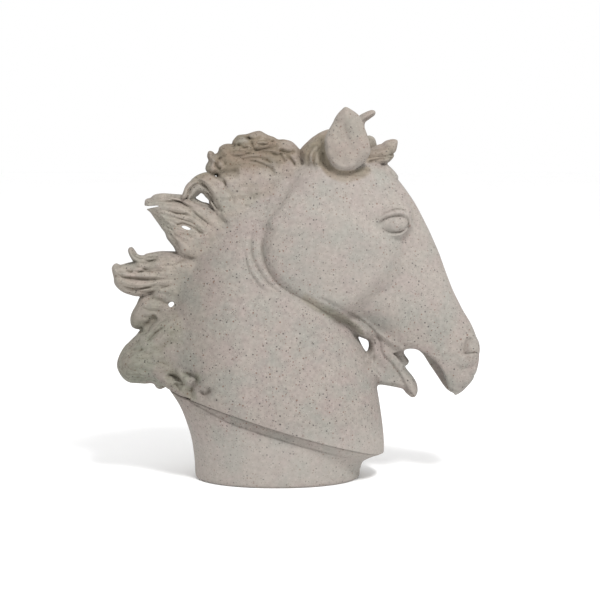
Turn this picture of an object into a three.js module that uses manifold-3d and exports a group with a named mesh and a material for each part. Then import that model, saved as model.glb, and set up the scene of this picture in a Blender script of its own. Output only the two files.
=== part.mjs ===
// A giant chess knight: a horse's head and neck in cast stone on an oval plinth.
// The horse faces +X, its left side is +Y, and +Z is up. Millimetres.
// The origin is the centre of the oval mat under the plinth, which rests on z = 0.
//
// The castings meet at the natural creases of the sculpture: plinth, neck, head, lower jaw,
// tongue, ears and the locks of hair. A screwed plate closes the plinth from below. A
// quarter-turn filler cap in that plate lets the sand ballast in and out.

import * as THREE from "three";
import { LoftGeometry } from "three/addons/geometries/LoftGeometry.js";
import { mergeVertices } from "three/addons/utils/BufferGeometryUtils.js";
import Module from "manifold-3d";

const wasm = await Module();
wasm.setup();

// ---------------------------------------------------------------- driving dimensions

const GAP = 0.3; // clearance between touching pieces
const LOFT_GAP = 0.6; // growth of a lofted cutter, which thins to about GAP on slopes
const WALL = 11; // wall of the hollow castings

const MAT_THICK = 2; // mat under the plinth
const MAT_INSET = 5; // how far the mat stays inside the plinth's edge
const PLINTH_HALF_LENGTH = 95;
const PLINTH_HALF_WIDTH = 66;

const LIP_HEIGHT = 67; // height of the oblique joint above the floor at x = 0
const LIP_SLOPE = -0.32; // the joint falls towards the chest

const PLATE_THICK = 5; // plate that closes the plinth from below
const PLATE_INSET = 6; // plate edge, in from the plinth's edge
const LEDGE = 13; // width of the ledge that the plate is screwed to
const LEDGE_HEIGHT = 10;
const LEDGE_ROOT = 4; // how deep the ledge is rooted in the plinth's wall
const SCREW_SHARE = 0.45; // where a screw stands across the ledge
const SCREW_RADIUS = 2;
const SCREW_HEAD_RADIUS = 3.8;
const SCREW_HEAD_THICK = 1.8;
const SCREW_LENGTH = 16;
const SCREW_ANGLES = [38, 142, 218, 322]; // round the oval, in degrees

const CAP_X = -42; // filler cap, off centre so that the mat is whole in its middle
const CAP_FLANGE_RADIUS = 19.7;
const CAP_FLANGE_THICK = 2.4;
const CAP_STEM_RADIUS = 14.7;
const CAP_STEM_LENGTH = 10;
const COIN_SLOT = { length: 22, width: 2.4, depth: 1.3 };
const MAT_HOLE_RADIUS = 22;

const BALLAST_HEIGHT = 26;
const BALLAST_GAP = 2; // sand to ledge
const OVERCUT = 1; // how far a cutter runs on past the face it opens
const HOLLOW_TOP = 140; // the plinth's hollow runs out above its highest edge
const HOLLOW_FALL = 40; // and as much lower at the chest
const NECK_DROP = 30; // the neck's hollow runs out below its lowest edge

const RING_POINTS = 30; // points round a casting
const LOCK_POINTS = 10; // points round a lock of hair

// ---------------------------------------------------------------- materials

const MATERIALS = {
  stone: { color: 0xbdb2a6, roughness: 0.92, metalness: 0 },
  plate: { color: 0x3a3a3c, roughness: 0.6, metalness: 0 },
  steel: { color: 0x9a9c9f, roughness: 0.35, metalness: 1 },
  cap: { color: 0x55585a, roughness: 0.5, metalness: 0 },
  sand: { color: 0xa8977a, roughness: 1, metalness: 0 },
  mat: { color: 0x2b2b2b, roughness: 0.95, metalness: 0 },
};

// ---------------------------------------------------------------- solids

// A closed three.js geometry as a solid that can be joined and cut.
function solidOf(geometry) {
  geometry.deleteAttribute("normal");
  geometry.deleteAttribute("uv");
  const merged = mergeVertices(geometry, 1e-4);
  const corners = merged.index.array;
  const triangles = [];
  for (let i = 0; i < corners.length; i += 3) {
    const [a, b, c] = corners.slice(i, i + 3);
    if (a !== b && b !== c && c !== a) triangles.push(a, b, c);
  }
  const mesh = new wasm.Mesh({
    numProp: 3,
    vertProperties: merged.attributes.position.array,
    triVerts: new Uint32Array(triangles),
  });
  return new wasm.Manifold(mesh);
}

// A solid as a three.js geometry.
function geometryOf(solid) {
  const mesh = solid.getMesh();
  const geometry = new THREE.BufferGeometry();
  geometry.setAttribute("position", new THREE.BufferAttribute(mesh.vertProperties, 3));
  geometry.setIndex(new THREE.BufferAttribute(mesh.triVerts, 1));
  const flat = geometry.toNonIndexed();
  flat.computeVertexNormals();
  return flat;
}

// The largest body of a solid, so that a cut leaves no crumbs.
function largestBody(solid) {
  const bodies = solid.decompose();
  bodies.sort((a, b) => b.volume() - a.volume());
  return bodies[0];
}

function cut(solid, ...cutters) {
  return largestBody(cutters.reduce((rest, cutter) => rest.subtract(cutter), solid));
}

// Rings of points joined into a closed solid, whichever way round the rings run. Each end
// closes on a ring that has shrunk to its own middle.
function loft(rings) {
  const pole = (ring) => ring.map(() => middle(ring));
  const closed = [pole(rings[0]), ...rings, pole(rings.at(-1))];
  const solid = solidOf(new LoftGeometry(closed));
  if (solid.volume() > 0) return solid;
  return solidOf(new LoftGeometry(closed.map((ring) => ring.toReversed())));
}

// A ring across the sculpture, from its back point to its front point in the XZ plane.
// half is its half width along Y, square its roundness (2 is an ellipse), and narrow says
// how much narrower than the back the front is.
function crossRing({ back, front, half, square = 2.2, narrow = 0 }, grow = 0) {
  const a = new THREE.Vector2(...back);
  const b = new THREE.Vector2(...front);
  const along = b.clone().sub(a);
  const reach = along.length() / 2 + grow;
  const centre = a.add(b).multiplyScalar(0.5);
  along.normalize();
  const ring = [];
  for (let i = 0; i < RING_POINTS; i += 1) {
    const angle = (i / RING_POINTS) * 2 * Math.PI;
    const c = Math.cos(angle);
    const s = Math.sin(angle);
    const p = Math.sign(c) * Math.abs(c) ** (2 / square);
    const q = Math.sign(s) * Math.abs(s) ** (2 / square) * (1 - narrow * (p + 1) * 0.5);
    const x = centre.x + along.x * p * reach;
    const z = centre.y + along.y * p * reach;
    ring.push(new THREE.Vector3(x, q * (half + grow), z));
  }
  return ring;
}

// A casting lofted through its stations. grow swells it all round, ends included.
function casting(stations, grow = 0) {
  const rings = stations.map((station) => crossRing(station, grow));
  if (grow > 0) {
    pushOut(rings[0], rings[1], grow);
    pushOut(rings.at(-1), rings.at(-2), grow);
  }
  return loft(rings);
}

function middle(ring) {
  const sum = new THREE.Vector3();
  ring.forEach((point) => sum.add(point));
  return sum.divideScalar(ring.length);
}

// Moves an end ring away from its neighbour.
function pushOut(ring, neighbour, distance) {
  const step = middle(ring).sub(middle(neighbour)).normalize().multiplyScalar(distance);
  ring.forEach((point) => point.add(step));
}

// A lock of hair: a tapering tube of oval section along a smooth path of [x, y, z] points.
// sizes are its half thickness and half width at the root, middle and tip.
function lock({ path, sizes, steps = 9 }, grow = 0) {
  const curve = new THREE.CatmullRomCurve3(path.map((point) => new THREE.Vector3(...point)));
  const sideways = new THREE.Vector3(0, 1, 0);
  const rings = [];
  for (let i = 0; i <= steps; i += 1) {
    const t = i / steps;
    const centre = curve.getPoint(t);
    const ahead = curve.getTangent(t);
    const up = ahead.clone().cross(sideways).normalize();
    const side = up.clone().cross(ahead).normalize();
    const [thick, wide] = blendSizes(sizes, t).map((size) => size * tipRounding(t));
    const ring = [];
    for (let k = 0; k < LOCK_POINTS; k += 1) {
      const angle = (k / LOCK_POINTS) * 2 * Math.PI;
      const point = centre.clone();
      point.addScaledVector(up, Math.cos(angle) * (thick + grow));
      point.addScaledVector(side, Math.sin(angle) * (wide + grow));
      ring.push(point);
    }
    rings.push(ring);
  }
  if (grow > 0) {
    pushOut(rings[0], rings[1], grow);
    pushOut(rings.at(-1), rings.at(-2), grow);
  }
  return loft(rings);
}

// A lock closes in a round tip over its last stretch.
function tipRounding(t, start = 0.8) {
  const share = Math.max(0, (t - start) / (1 - start));
  return Math.sqrt(1 - 0.85 * share ** 2);
}

function blendSizes([root, mid, tip], t) {
  const [from, to, share] = t < 0.5 ? [root, mid, t * 2] : [mid, tip, t * 2 - 1];
  return [0, 1].map((i) => from[i] + (to[i] - from[i]) * share);
}

// An upright oval slab between two heights, about the plinth's axis.
function ovalSlab(inset, low, high, sides = 48) {
  const disc = new THREE.CylinderGeometry(1, 1, 1, sides).rotateX(Math.PI / 2);
  disc.scale(PLINTH_HALF_LENGTH - inset, PLINTH_HALF_WIDTH - inset, high - low);
  disc.translate(0, 0, (low + high) / 2);
  return solidOf(disc);
}

function post(radius, low, high, x, y, sides = 24) {
  const cylinder = new THREE.CylinderGeometry(radius, radius, high - low, sides);
  cylinder.rotateX(Math.PI / 2).translate(x, y, (low + high) / 2);
  return solidOf(cylinder);
}

// ---------------------------------------------------------------- plinth and neck

// The point of the oblique joint above x, lifted by up.
const lipPoint = (x, up = 0) => [x, LIP_HEIGHT + LIP_SLOPE * x + up];

const HALF = PLINTH_HALF_LENGTH;
const BOTTOM = MAT_THICK;

function plinthStations(inward) {
  const wide = PLINTH_HALF_WIDTH - inward;
  return [
    { back: [-HALF + 3 + inward, BOTTOM], front: [HALF - 3 - inward, BOTTOM], half: wide - 3 },
    { back: [-HALF + inward, BOTTOM + 4], front: [HALF - inward, BOTTOM + 3], half: wide },
    { back: [-97 + inward, 30], front: [HALF - inward, 12], half: wide },
    { back: [-102 + inward, 57], front: [HALF - inward, 20], half: wide },
    { back: [-112 + inward, 84], front: [96 - inward, 29], half: wide - 1 },
    { back: lipPoint(-125 + inward), front: lipPoint(97 - inward), half: wide - 3 },
  ];
}

function neckStations(inward) {
  const rise = GAP * 1.1;
  const stations = [
    { back: lipPoint(-127, rise), front: lipPoint(119, rise), half: 71 },
    { back: [-129, 122], front: [121.5, 44], half: 72 },
    { back: [-125, 152], front: [118, 78], half: 69 },
    { back: [-120, 190], front: [112, 114], half: 64 },
    { back: [-110, 228], front: [102, 145], half: 57 },
    { back: [-94, 262], front: [90, 166], half: 50 },
    { back: [-70, 293], front: [82, 196], half: 44 },
    { back: [-40, 322], front: [78, 236], half: 38 },
    { back: [-8, 348], front: [80, 282], half: 31 },
    { back: [24, 367], front: [82, 322], half: 24 },
    { back: [44, 374], front: [84, 346], half: 16 },
  ];
  return inward > 0 ? shrink(stations, inward) : stations;
}

// Stations moved in from the surface all round.
function shrink(stations, inward) {
  return stations.map((station) => {
    const back = new THREE.Vector2(...station.back);
    const front = new THREE.Vector2(...station.front);
    const step = front.clone().sub(back).normalize().multiplyScalar(inward);
    return {
      ...station,
      back: back.add(step).toArray(),
      front: front.sub(step).toArray(),
      half: station.half - inward,
    };
  });
}

function plinth() {
  let body = casting(plinthStations(0));
  const hollow = casting([
    ...plinthStations(WALL).slice(0, 5),
    { back: [-128, HOLLOW_TOP], front: [96, HOLLOW_TOP - HOLLOW_FALL], half: PLINTH_HALF_WIDTH - WALL - 3 },
  ]);
  const ledgeTop = BOTTOM + PLATE_THICK + LEDGE_HEIGHT;
  const ledgeHole = ovalSlab(PLATE_INSET + LEDGE, 0, ledgeTop + OVERCUT);
  const ledge = ovalSlab(LEDGE_ROOT, BOTTOM, ledgeTop).subtract(ledgeHole);
  body = body.subtract(hollow).add(ledge);
  const rebate = ovalSlab(PLATE_INSET - GAP, 0, BOTTOM + PLATE_THICK + GAP);
  const screwHoles = screwPlaces().map(([x, y]) => {
    return post(SCREW_RADIUS + GAP, 0, BOTTOM + SCREW_LENGTH + GAP, x, y, 12);
  });
  return cut(body, rebate, ...screwHoles);
}

function neckOuter(grow = 0) {
  return casting(neckStations(0), grow);
}

function neckShell(head) {
  const inside = shrink(neckStations(0), WALL).slice(0, 8);
  inside[0].back[1] -= NECK_DROP;
  inside[0].front[1] -= NECK_DROP;
  return cut(neckOuter(), casting(inside), head);
}

// ---------------------------------------------------------------- head

// From the poll down to the lips, across the head at right angles to its length.
const HEAD_STATIONS = [
  { back: [10, 340], front: [44, 375], half: 24 },
  { back: [4, 316], front: [76, 375], half: 42, square: 2.4, narrow: 0.1 },
  { back: [-10, 290], front: [108, 365], half: 50, square: 2.8, narrow: 0.1 },
  { back: [-17, 265], front: [128, 354], half: 53, square: 2.9, narrow: 0.12 },
  { back: [-10, 238], front: [147, 334], half: 54, square: 2.8, narrow: 0.18 },
  { back: [12, 216], front: [159, 313], half: 52, square: 2.6, narrow: 0.28 },
  { back: [38, 200], front: [170, 290], half: 47, square: 2.5, narrow: 0.3 },
  { back: [67, 186], front: [181, 266], half: 41, square: 2.4, narrow: 0.3 },
  { back: [92, 176], front: [191, 243], half: 35, square: 2.3, narrow: 0.28 },
  { back: [111, 164], front: [200, 220], half: 31, square: 2.3, narrow: 0.25 },
  { back: [126, 153], front: [209, 198], half: 29, narrow: 0.2 },
  { back: [147, 151], front: [218, 178], half: 29, narrow: 0.12 },
  { back: [165, 144], front: [227, 161], half: 30 },
  { back: [178, 127], front: [230, 146], half: 30 },
  { back: [188, 112], front: [229, 129], half: 27 },
  { back: [196, 101], front: [221, 112], half: 21 },
  { back: [203, 97], front: [213, 103], half: 10 },
];

const EYE = { x: 131, z: 296, y: 32, long: 17, tall: 10, deep: 13 };
const NOSTRIL = { x: 219, z: 153, y: 25, long: 7, tall: 9, deep: 7 };

function ellipsoid({ x, y, z, long, tall, deep }, side) {
  const ball = new THREE.SphereGeometry(1, 16, 10).rotateX(Math.PI / 2);
  ball.scale(long, deep, tall).translate(x, side * y, z);
  return solidOf(ball);
}

function headOuter(grow = 0) {
  return casting(HEAD_STATIONS, grow);
}

// The hollow in the head opens backwards into the neck.
function headHollow() {
  const stations = shrink(HEAD_STATIONS.slice(1, 9), WALL);
  const entry = { back: [8, 322], front: [40, 352], half: 20 };
  return casting([entry, ...stations]).add(
    casting([
      { back: [-30, 262], front: [20, 330], half: 26 },
      { back: [30, 236], front: [80, 300], half: 26 },
    ]),
  );
}

function headShell() {
  const mouth = casting([
    { back: [118, 142], front: [136, 158], half: 17 },
    { back: [150, 118], front: [176, 142], half: 17 },
    { back: [176, 92], front: [197, 112], half: 12 },
  ]);
  let head = headOuter();
  for (const side of [-1, 1]) {
    head = head.add(ellipsoid(EYE, side)).subtract(ellipsoid(NOSTRIL, side));
  }
  return cut(head, headHollow(), mouth);
}

const JAW_STATIONS = [
  { back: [106, 166], front: [123, 154], half: 20 },
  { back: [107, 150], front: [129, 147], half: 21 },
  { back: [107, 132], front: [138, 137], half: 20 },
  { back: [112, 115], front: [147, 128], half: 18 },
  { back: [128, 107], front: [154, 117], half: 15 },
  { back: [146, 99], front: [161, 106], half: 11 },
  { back: [152, 94], front: [160, 96], half: 7 },
];

function jawOuter(grow = 0) {
  return casting(JAW_STATIONS, grow);
}

const TONGUE = {
  path: [[120, 0, 152], [134, 0, 146], [145, 0, 138], [151, 0, 130]],
  sizes: [[7, 11], [6.5, 11], [3, 6]],
  steps: 6,
};

const EARS = {
  right_ear: {
    path: [[78, -38, 346], [80, -43, 372], [80, -46, 396], [75, -46, 422]],
    sizes: [[20, 15], [22, 11], [3.5, 3]],
  },
  left_ear: {
    path: [[80, 38, 346], [85, 42, 372], [94, 44, 398], [111, 42, 418]],
    sizes: [[20, 15], [16, 10], [2.5, 2.5]],
  },
};

// ---------------------------------------------------------------- hair

// Each lock runs from its root to its tip.
const LOCKS = {
  forelock_centre: {
    path: [[92, 0, 360], [106, -4, 374], [120, -6, 379], [135, -6, 383]],
    sizes: [[13, 22], [11, 16], [4, 5]],
  },
  forelock_side: {
    path: [[96, 14, 362], [104, 18, 374], [109, 20, 384], [112, 22, 390]],
    sizes: [[9, 12], [7, 9], [3, 4]],
  },
  poll_tuft: {
    path: [[66, -4, 366], [58, -8, 382], [44, -10, 382], [32, -8, 368]],
    sizes: [[16, 28], [16, 26], [12, 18]],
  },
  crest_tuft_front: {
    path: [[26, -2, 358], [8, -6, 370], [-8, -8, 376], [-24, -8, 386]],
    sizes: [[13, 22], [15, 22], [9, 12]],
  },
  crest_tuft_middle: {
    path: [[-4, 4, 342], [-22, 4, 362], [-38, 4, 376], [-50, 4, 386]],
    sizes: [[14, 22], [16, 22], [9, 12]],
  },
  crest_tuft_rear: {
    path: [[-24, -6, 330], [-44, -8, 350], [-60, -8, 362], [-77, -8, 370]],
    sizes: [[13, 20], [14, 18], [7, 9]],
  },
  crest_tuft_low: {
    path: [[-42, 6, 314], [-56, 8, 330], [-68, 8, 344], [-81, 8, 354]],
    sizes: [[11, 18], [11, 15], [6, 8]],
  },
  mane_arch_lock: {
    path: [[-52, -10, 304], [-68, -12, 334], [-90, -8, 338], [-103, -4, 326], [-114, -2, 316]],
    sizes: [[11, 16], [9, 13], [8, 10]],
    steps: 12,
  },
  mane_wind_lock: {
    path: [[-70, 2, 292], [-94, 2, 304], [-120, 0, 314], [-148, 0, 315]],
    sizes: [[15, 22], [13, 16], [5, 6]],
  },
  mane_hanging_lock: {
    path: [[-90, -2, 260], [-106, -4, 274], [-126, -4, 290], [-147, -2, 307]],
    sizes: [[16, 22], [14, 16], [5, 6]],
  },
  mane_whisk_lock: {
    path: [[-100, 6, 240], [-128, 8, 252], [-152, 8, 254], [-168, 8, 262]],
    sizes: [[12, 20], [7, 10], [3, 4]],
  },
  mane_fan_lock: {
    path: [[-104, -4, 220], [-134, -4, 230], [-160, -4, 228], [-187, -2, 234]],
    sizes: [[20, 30], [18, 24], [13, 16]],
  },
  mane_lobe_lock: {
    path: [[-108, 8, 188], [-132, 10, 192], [-150, 10, 190], [-169, 10, 182]],
    sizes: [[17, 28], [18, 24], [13, 16]],
  },
  mane_fall_lock: {
    path: [[-104, 0, 152], [-134, 0, 150], [-158, 0, 142], [-184, 0, 136]],
    sizes: [[32, 44], [30, 38], [23, 26]],
  },
  nape_curl_back: {
    path: [[-112, -34, 138], [-126, -38, 128], [-134, -38, 120], [-131, -38, 111]],
    sizes: [[12, 15], [10, 13], [6, 7]],
  },
  nape_curl_middle: {
    path: [[-96, -48, 142], [-108, -52, 132], [-112, -54, 124], [-107, -54, 115]],
    sizes: [[10, 11], [9, 10], [5, 6]],
  },
  nape_curl_front: {
    path: [[-80, -56, 138], [-88, -60, 128], [-92, -62, 120], [-86, -62, 113]],
    sizes: [[9, 10], [8, 9], [5, 5]],
  },
};

// ---------------------------------------------------------------- base closure

function screwPlaces() {
  const inset = PLATE_INSET + LEDGE * SCREW_SHARE;
  return SCREW_ANGLES.map((degrees) => {
    const angle = THREE.MathUtils.degToRad(degrees);
    const x = (PLINTH_HALF_LENGTH - inset) * Math.cos(angle);
    const y = (PLINTH_HALF_WIDTH - inset) * Math.sin(angle);
    return [x, y];
  });
}

function basePlate() {
  const top = BOTTOM + PLATE_THICK;
  const plate = ovalSlab(PLATE_INSET, BOTTOM, top);
  const pocketTop = BOTTOM + CAP_FLANGE_THICK + GAP;
  const pocket = post(CAP_FLANGE_RADIUS + GAP, 0, pocketTop, CAP_X, 0, 48);
  const hole = post(CAP_STEM_RADIUS + GAP, 0, top + OVERCUT, CAP_X, 0, 48);
  const screwCuts = screwPlaces().flatMap(([x, y]) => [
    post(SCREW_RADIUS + GAP, 0, top + OVERCUT, x, y, 12),
    post(SCREW_HEAD_RADIUS + GAP, 0, BOTTOM + SCREW_HEAD_THICK + GAP, x, y, 16),
  ]);
  return cut(plate, pocket, hole, ...screwCuts);
}

function baseScrew([x, y]) {
  const headTop = BOTTOM + SCREW_HEAD_THICK;
  const shank = post(SCREW_RADIUS, BOTTOM + GAP, BOTTOM + SCREW_LENGTH, x, y, 12);
  return shank.add(post(SCREW_HEAD_RADIUS, BOTTOM + GAP, headTop, x, y, 16));
}

function fillerCap() {
  const low = BOTTOM;
  const flangeTop = low + CAP_FLANGE_THICK;
  const flange = post(CAP_FLANGE_RADIUS, low, flangeTop, CAP_X, 0, 48);
  const stem = post(CAP_STEM_RADIUS, low + 1, low + CAP_STEM_LENGTH, CAP_X, 0, 48);
  const slotBox = new THREE.BoxGeometry(COIN_SLOT.length, COIN_SLOT.width, COIN_SLOT.depth * 2);
  slotBox.translate(CAP_X, 0, low);
  return cut(flange.add(stem), solidOf(slotBox));
}

function ballast() {
  const low = BOTTOM + PLATE_THICK + GAP;
  const sand = ovalSlab(PLATE_INSET + LEDGE + BALLAST_GAP, low, low + BALLAST_HEIGHT);
  const roomForCap = post(CAP_STEM_RADIUS + OVERCUT, 0, BOTTOM + CAP_STEM_LENGTH + OVERCUT, CAP_X, 0);
  return cut(sand, roomForCap);
}

function baseMat() {
  const mat = ovalSlab(MAT_INSET, 0, MAT_THICK - GAP);
  return cut(mat, post(MAT_HOLE_RADIUS, -OVERCUT, MAT_THICK, CAP_X, 0, 32));
}

// ---------------------------------------------------------------- assembly

const group = new THREE.Group();

function add(name, solid, material) {
  const mesh = new THREE.Mesh(
    geometryOf(solid),
    new THREE.MeshStandardMaterial(MATERIALS[material]),
  );
  mesh.name = name;
  group.add(mesh);
}

const headCutter = headOuter(LOFT_GAP);
const neckCutter = neckOuter(LOFT_GAP);
const plinthCutter = casting(plinthStations(0), LOFT_GAP);

add("plinth", plinth(), "stone");
add("neck_shell", neckShell(headCutter), "stone");
add("head_shell", headShell(), "stone");
add("lower_jaw", cut(jawOuter(), headCutter, neckCutter), "stone");
add("tongue", cut(lock(TONGUE), jawOuter(LOFT_GAP), headCutter), "stone");

for (const [name, ear] of Object.entries(EARS)) {
  add(name, cut(lock(ear), headCutter), "stone");
}

const hairBehind = [headCutter, neckCutter, lock(EARS.right_ear, LOFT_GAP), lock(EARS.left_ear, LOFT_GAP)];
for (const [name, shape] of Object.entries(LOCKS)) {
  add(name, cut(lock(shape), ...hairBehind, plinthCutter), "stone");
  hairBehind.push(lock(shape, LOFT_GAP));
}

add("base_plate", basePlate(), "plate");
screwPlaces().forEach((place, i) => add("base_screw_" + (i + 1), baseScrew(place), "steel"));
add("filler_cap", fillerCap(), "cap");
add("sand_ballast", ballast(), "sand");
add("base_mat", baseMat(), "mat");

export default group;
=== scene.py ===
import math

import bpy
import numpy as np
import openvdb
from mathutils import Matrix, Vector


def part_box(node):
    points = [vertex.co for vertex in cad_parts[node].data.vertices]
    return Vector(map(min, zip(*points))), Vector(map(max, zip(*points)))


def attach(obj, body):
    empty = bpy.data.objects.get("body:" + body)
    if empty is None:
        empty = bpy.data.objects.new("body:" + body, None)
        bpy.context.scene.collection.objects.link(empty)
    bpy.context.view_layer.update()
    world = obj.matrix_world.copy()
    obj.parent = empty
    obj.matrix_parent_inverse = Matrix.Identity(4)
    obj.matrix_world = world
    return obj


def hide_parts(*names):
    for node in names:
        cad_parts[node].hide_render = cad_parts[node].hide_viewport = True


# A giant chess knight: a horse's head and neck in speckled cast stone on an oval plinth.
# Every casting is sculpted as clay on a voxel grid, in millimetres in the frame of the model,
# and then cut along its creases into the pieces that the model names.

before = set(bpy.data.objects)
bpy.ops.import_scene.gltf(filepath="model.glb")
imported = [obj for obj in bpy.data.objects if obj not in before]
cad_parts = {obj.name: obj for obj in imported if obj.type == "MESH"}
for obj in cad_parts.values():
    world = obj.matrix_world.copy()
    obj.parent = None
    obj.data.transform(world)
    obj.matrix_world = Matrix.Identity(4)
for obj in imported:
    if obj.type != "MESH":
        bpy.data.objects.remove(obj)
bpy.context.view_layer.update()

MM = 0.001

# ---------------------------------------------------------------- camera and stage

AIM = (0.0257, 0.0, 0.2045)       # what the camera looks at
CAMERA_DISTANCE = 2.0
CAMERA_RISE = math.radians(7.0)   # the camera looks slightly down
LENS = 105.2


def add_camera():
    data = bpy.data.cameras.new("camera")
    data.lens = LENS
    data.sensor_width = 36.0
    camera = bpy.data.objects.new("camera", data)
    x, y, z = AIM
    camera.location = (x, y - CAMERA_DISTANCE * math.cos(CAMERA_RISE),
                       z + CAMERA_DISTANCE * math.sin(CAMERA_RISE))
    camera.rotation_euler = (math.pi / 2 - CAMERA_RISE, 0.0, 0.0)
    bpy.context.collection.objects.link(camera)
    bpy.context.scene.camera = camera


add_camera()
bpy.context.scene.view_settings.view_transform = "Standard"

# ---------------------------------------------------------------- clay on a voxel grid

VOXEL = 1.0                               # mm
BAND = 9.0                                # distances are true this far from a surface
LOW = np.array([-204.0, -86.0, -6.0])     # the grid's lowest corner
HIGH = np.array([244.0, 86.0, 434.0])
GRID = np.ceil((HIGH - LOW) / VOXEL).astype(int)


class Clay:
    """Signed distances to a surface, over one block of the grid."""

    def __init__(self, low=(0, 0, 0), high=GRID):
        self.low = np.maximum(low, 0)
        self.high = np.minimum(high, GRID)
        self.values = np.full(self.high - self.low, BAND, np.float32)

    def window(self, low, high):
        """The part of the block between two grid corners, and its place in the grid."""
        low = np.maximum(low, self.low)
        high = np.minimum(high, self.high)
        a = low - self.low
        b = high - self.low
        return self.values[a[0]:b[0], a[1]:b[1], a[2]:b[2]], low, high

    def part_of(self, other):
        """This clay's values and another's, over the block where they meet."""
        view, low, high = self.window(other.low, other.high)
        theirs, _, _ = other.window(low, high)
        return view, theirs

    def axis(self, k):
        """The block's coordinates in mm along x, y or z (0, 1 or 2), shaped to spread over it."""
        shape = [-1 if i == k else 1 for i in range(3)]
        return (np.arange(self.low[k], self.high[k]) * VOXEL + LOW[k]).reshape(shape)


def soft_min(a, b, blend):
    """The nearer of two distances, rounded off where they differ by less than blend."""
    if blend <= 0:
        return np.minimum(a, b)
    near = np.maximum(blend - np.abs(a - b), 0.0) / blend
    return np.minimum(a, b) - near * near * (blend * 0.25)


def joined(view, field, blend, carve):
    """The first shape's distances with the second shape added to it, or carved from it."""
    return -soft_min(-view, field, blend) if carve else soft_min(view, field, blend)


def block_of(points, margin=BAND):
    """The grid corners of the block that holds points, with a margin in mm."""
    low = np.floor((points.min(0) - margin - LOW) / VOXEL).astype(int)
    high = np.ceil((points.max(0) + margin - LOW) / VOXEL).astype(int) + 1
    return low, high


def distances(shape, low, high):
    """The signed distance field of a closed shape between two grid corners."""
    points, triangles = shape
    grid = openvdb.FloatGrid.createLevelSetFromPolygons(
        ((points - LOW) / VOXEL).astype(np.float32),
        triangles=triangles.astype(np.uint32),
        transform=openvdb.createLinearTransform(voxelSize=1.0),
        halfWidth=BAND / VOXEL)
    values = np.empty(high - low, np.float32)
    grid.copyToArray(values, ijk=tuple(int(i) for i in low))
    return values * VOXEL


def press(clay, shape, blend=0.0, carve=False):
    """Adds a shape to the clay, or carves it away, with a soft transition."""
    view, low, high = clay.window(*block_of(shape[0]))
    view[...] = joined(view, distances(shape, low, high), blend, carve)


def merge(whole, clay, blend):
    """Adds one clay to another."""
    view, theirs = whole.part_of(clay)
    view[...] = soft_min(view, theirs, blend)


def grown(clay, other):
    """The clay with its block enlarged to hold another clay too."""
    bigger = Clay(np.minimum(clay.low, other.low), np.maximum(clay.high, other.high))
    view, theirs = bigger.part_of(clay)
    view[...] = theirs
    return bigger


def clay_of(shape):
    clay = Clay(*block_of(shape[0]))
    press(clay, shape, 1.5)
    return clay


# ---------------------------------------------------------------- shapes

def curve(p0, p1, p2, p3, f):
    """The points at the shares f of the way from p1 to p2, on a smooth curve through all four."""
    turn = (2 * p0 - 5 * p1 + 4 * p2 - p3) * f ** 2 + (3 * p1 - p0 - 3 * p2 + p3) * f ** 3
    return 0.5 * (2 * p1 + (p2 - p0) * f + turn)


def spline(keys, count):
    """A smooth curve through rows of numbers."""
    keys = np.asarray(keys, float)
    last = len(keys) - 1
    place = np.linspace(0, last, count)
    i = np.minimum(place.astype(int), last - 1)
    f = (place - i)[:, None]
    return curve(keys[np.maximum(i - 1, 0)], keys[i], keys[i + 1], keys[np.minimum(i + 2, last)], f)


def skin(rings):
    """Rings of points, shape (rings, points, 3), as a closed shape."""
    count, around, _ = rings.shape
    ends = np.stack([rings[0].mean(0), rings[-1].mean(0)])
    points = np.concatenate([rings.reshape(-1, 3), ends])
    a = np.arange((count - 1) * around)
    b = a - a % around + (a + 1) % around
    walls = np.concatenate([np.stack([a, b, a + around], 1),
                            np.stack([b, b + around, a + around], 1)])
    j = np.arange(around)
    k = (j + 1) % around
    top = (count - 1) * around
    first = np.stack([k, j, np.full(around, count * around)], 1)
    last = np.stack([top + j, top + k, np.full(around, count * around + 1)], 1)
    return points, np.concatenate([walls, first, last])


def loft(stations, count=70, around=72):
    """A body lofted through stations across the sculpture.

    A station is back x, back z, front x, front z, half width, where the widest place is from
    back (0) to front (1), and how square the back and front halves are (2 is an ellipse).
    """
    angle = np.linspace(0, 2 * math.pi, around, endpoint=False)
    share = (1 - np.cos(angle)) / 2
    rings = []
    for back_x, back_z, front_x, front_z, half, peak, back_round, front_round in spline(stations, count):
        behind = share < peak
        away = np.where(behind, (peak - share) / peak, (share - peak) / (1 - peak))
        power = np.where(behind, back_round, front_round)
        width = half * np.maximum(1 - np.clip(away, 0, 1) ** power, 0) ** (1 / power)
        rings.append(np.stack([back_x + (front_x - back_x) * share,
                               np.sign(np.sin(angle)) * width,
                               back_z + (front_z - back_z) * share], 1))
    return skin(np.array(rings))


def sweep(path, sizes, side=(0, 1, 0), count=40, around=40):
    """A tapering oval tube along a path, closing in a round tip over its last quarter.

    sizes are rows of half thickness and half width from root to tip, and side is the direction
    of the width.
    """
    centres = spline(path, count)
    ahead = np.gradient(centres, axis=0)
    ahead /= np.linalg.norm(ahead, axis=1, keepdims=True)
    up = np.cross(ahead, np.asarray(side, float))
    up /= np.linalg.norm(up, axis=1, keepdims=True)
    across = np.cross(up, ahead)
    t = np.linspace(0, 1, count)
    sizes = spline(sizes, count)
    tip = np.sqrt(1 - 0.97 * np.clip((t - 0.75) / 0.25, 0, 1) ** 2)[:, None]
    angle = np.linspace(0, 2 * math.pi, around, endpoint=False)[None, :]
    thick = sizes[:, :1] * tip * np.cos(angle)
    wide = sizes[:, 1:2] * tip * np.sin(angle)
    rings = centres[:, None, :] + up[:, None, :] * thick[..., None] + across[:, None, :] * wide[..., None]
    return skin(rings)


def on_side(side, path):
    """A path of the left side, on the left (1) or mirrored to the right (-1)."""
    return [(x, side * y, z) for x, y, z in path]


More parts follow.
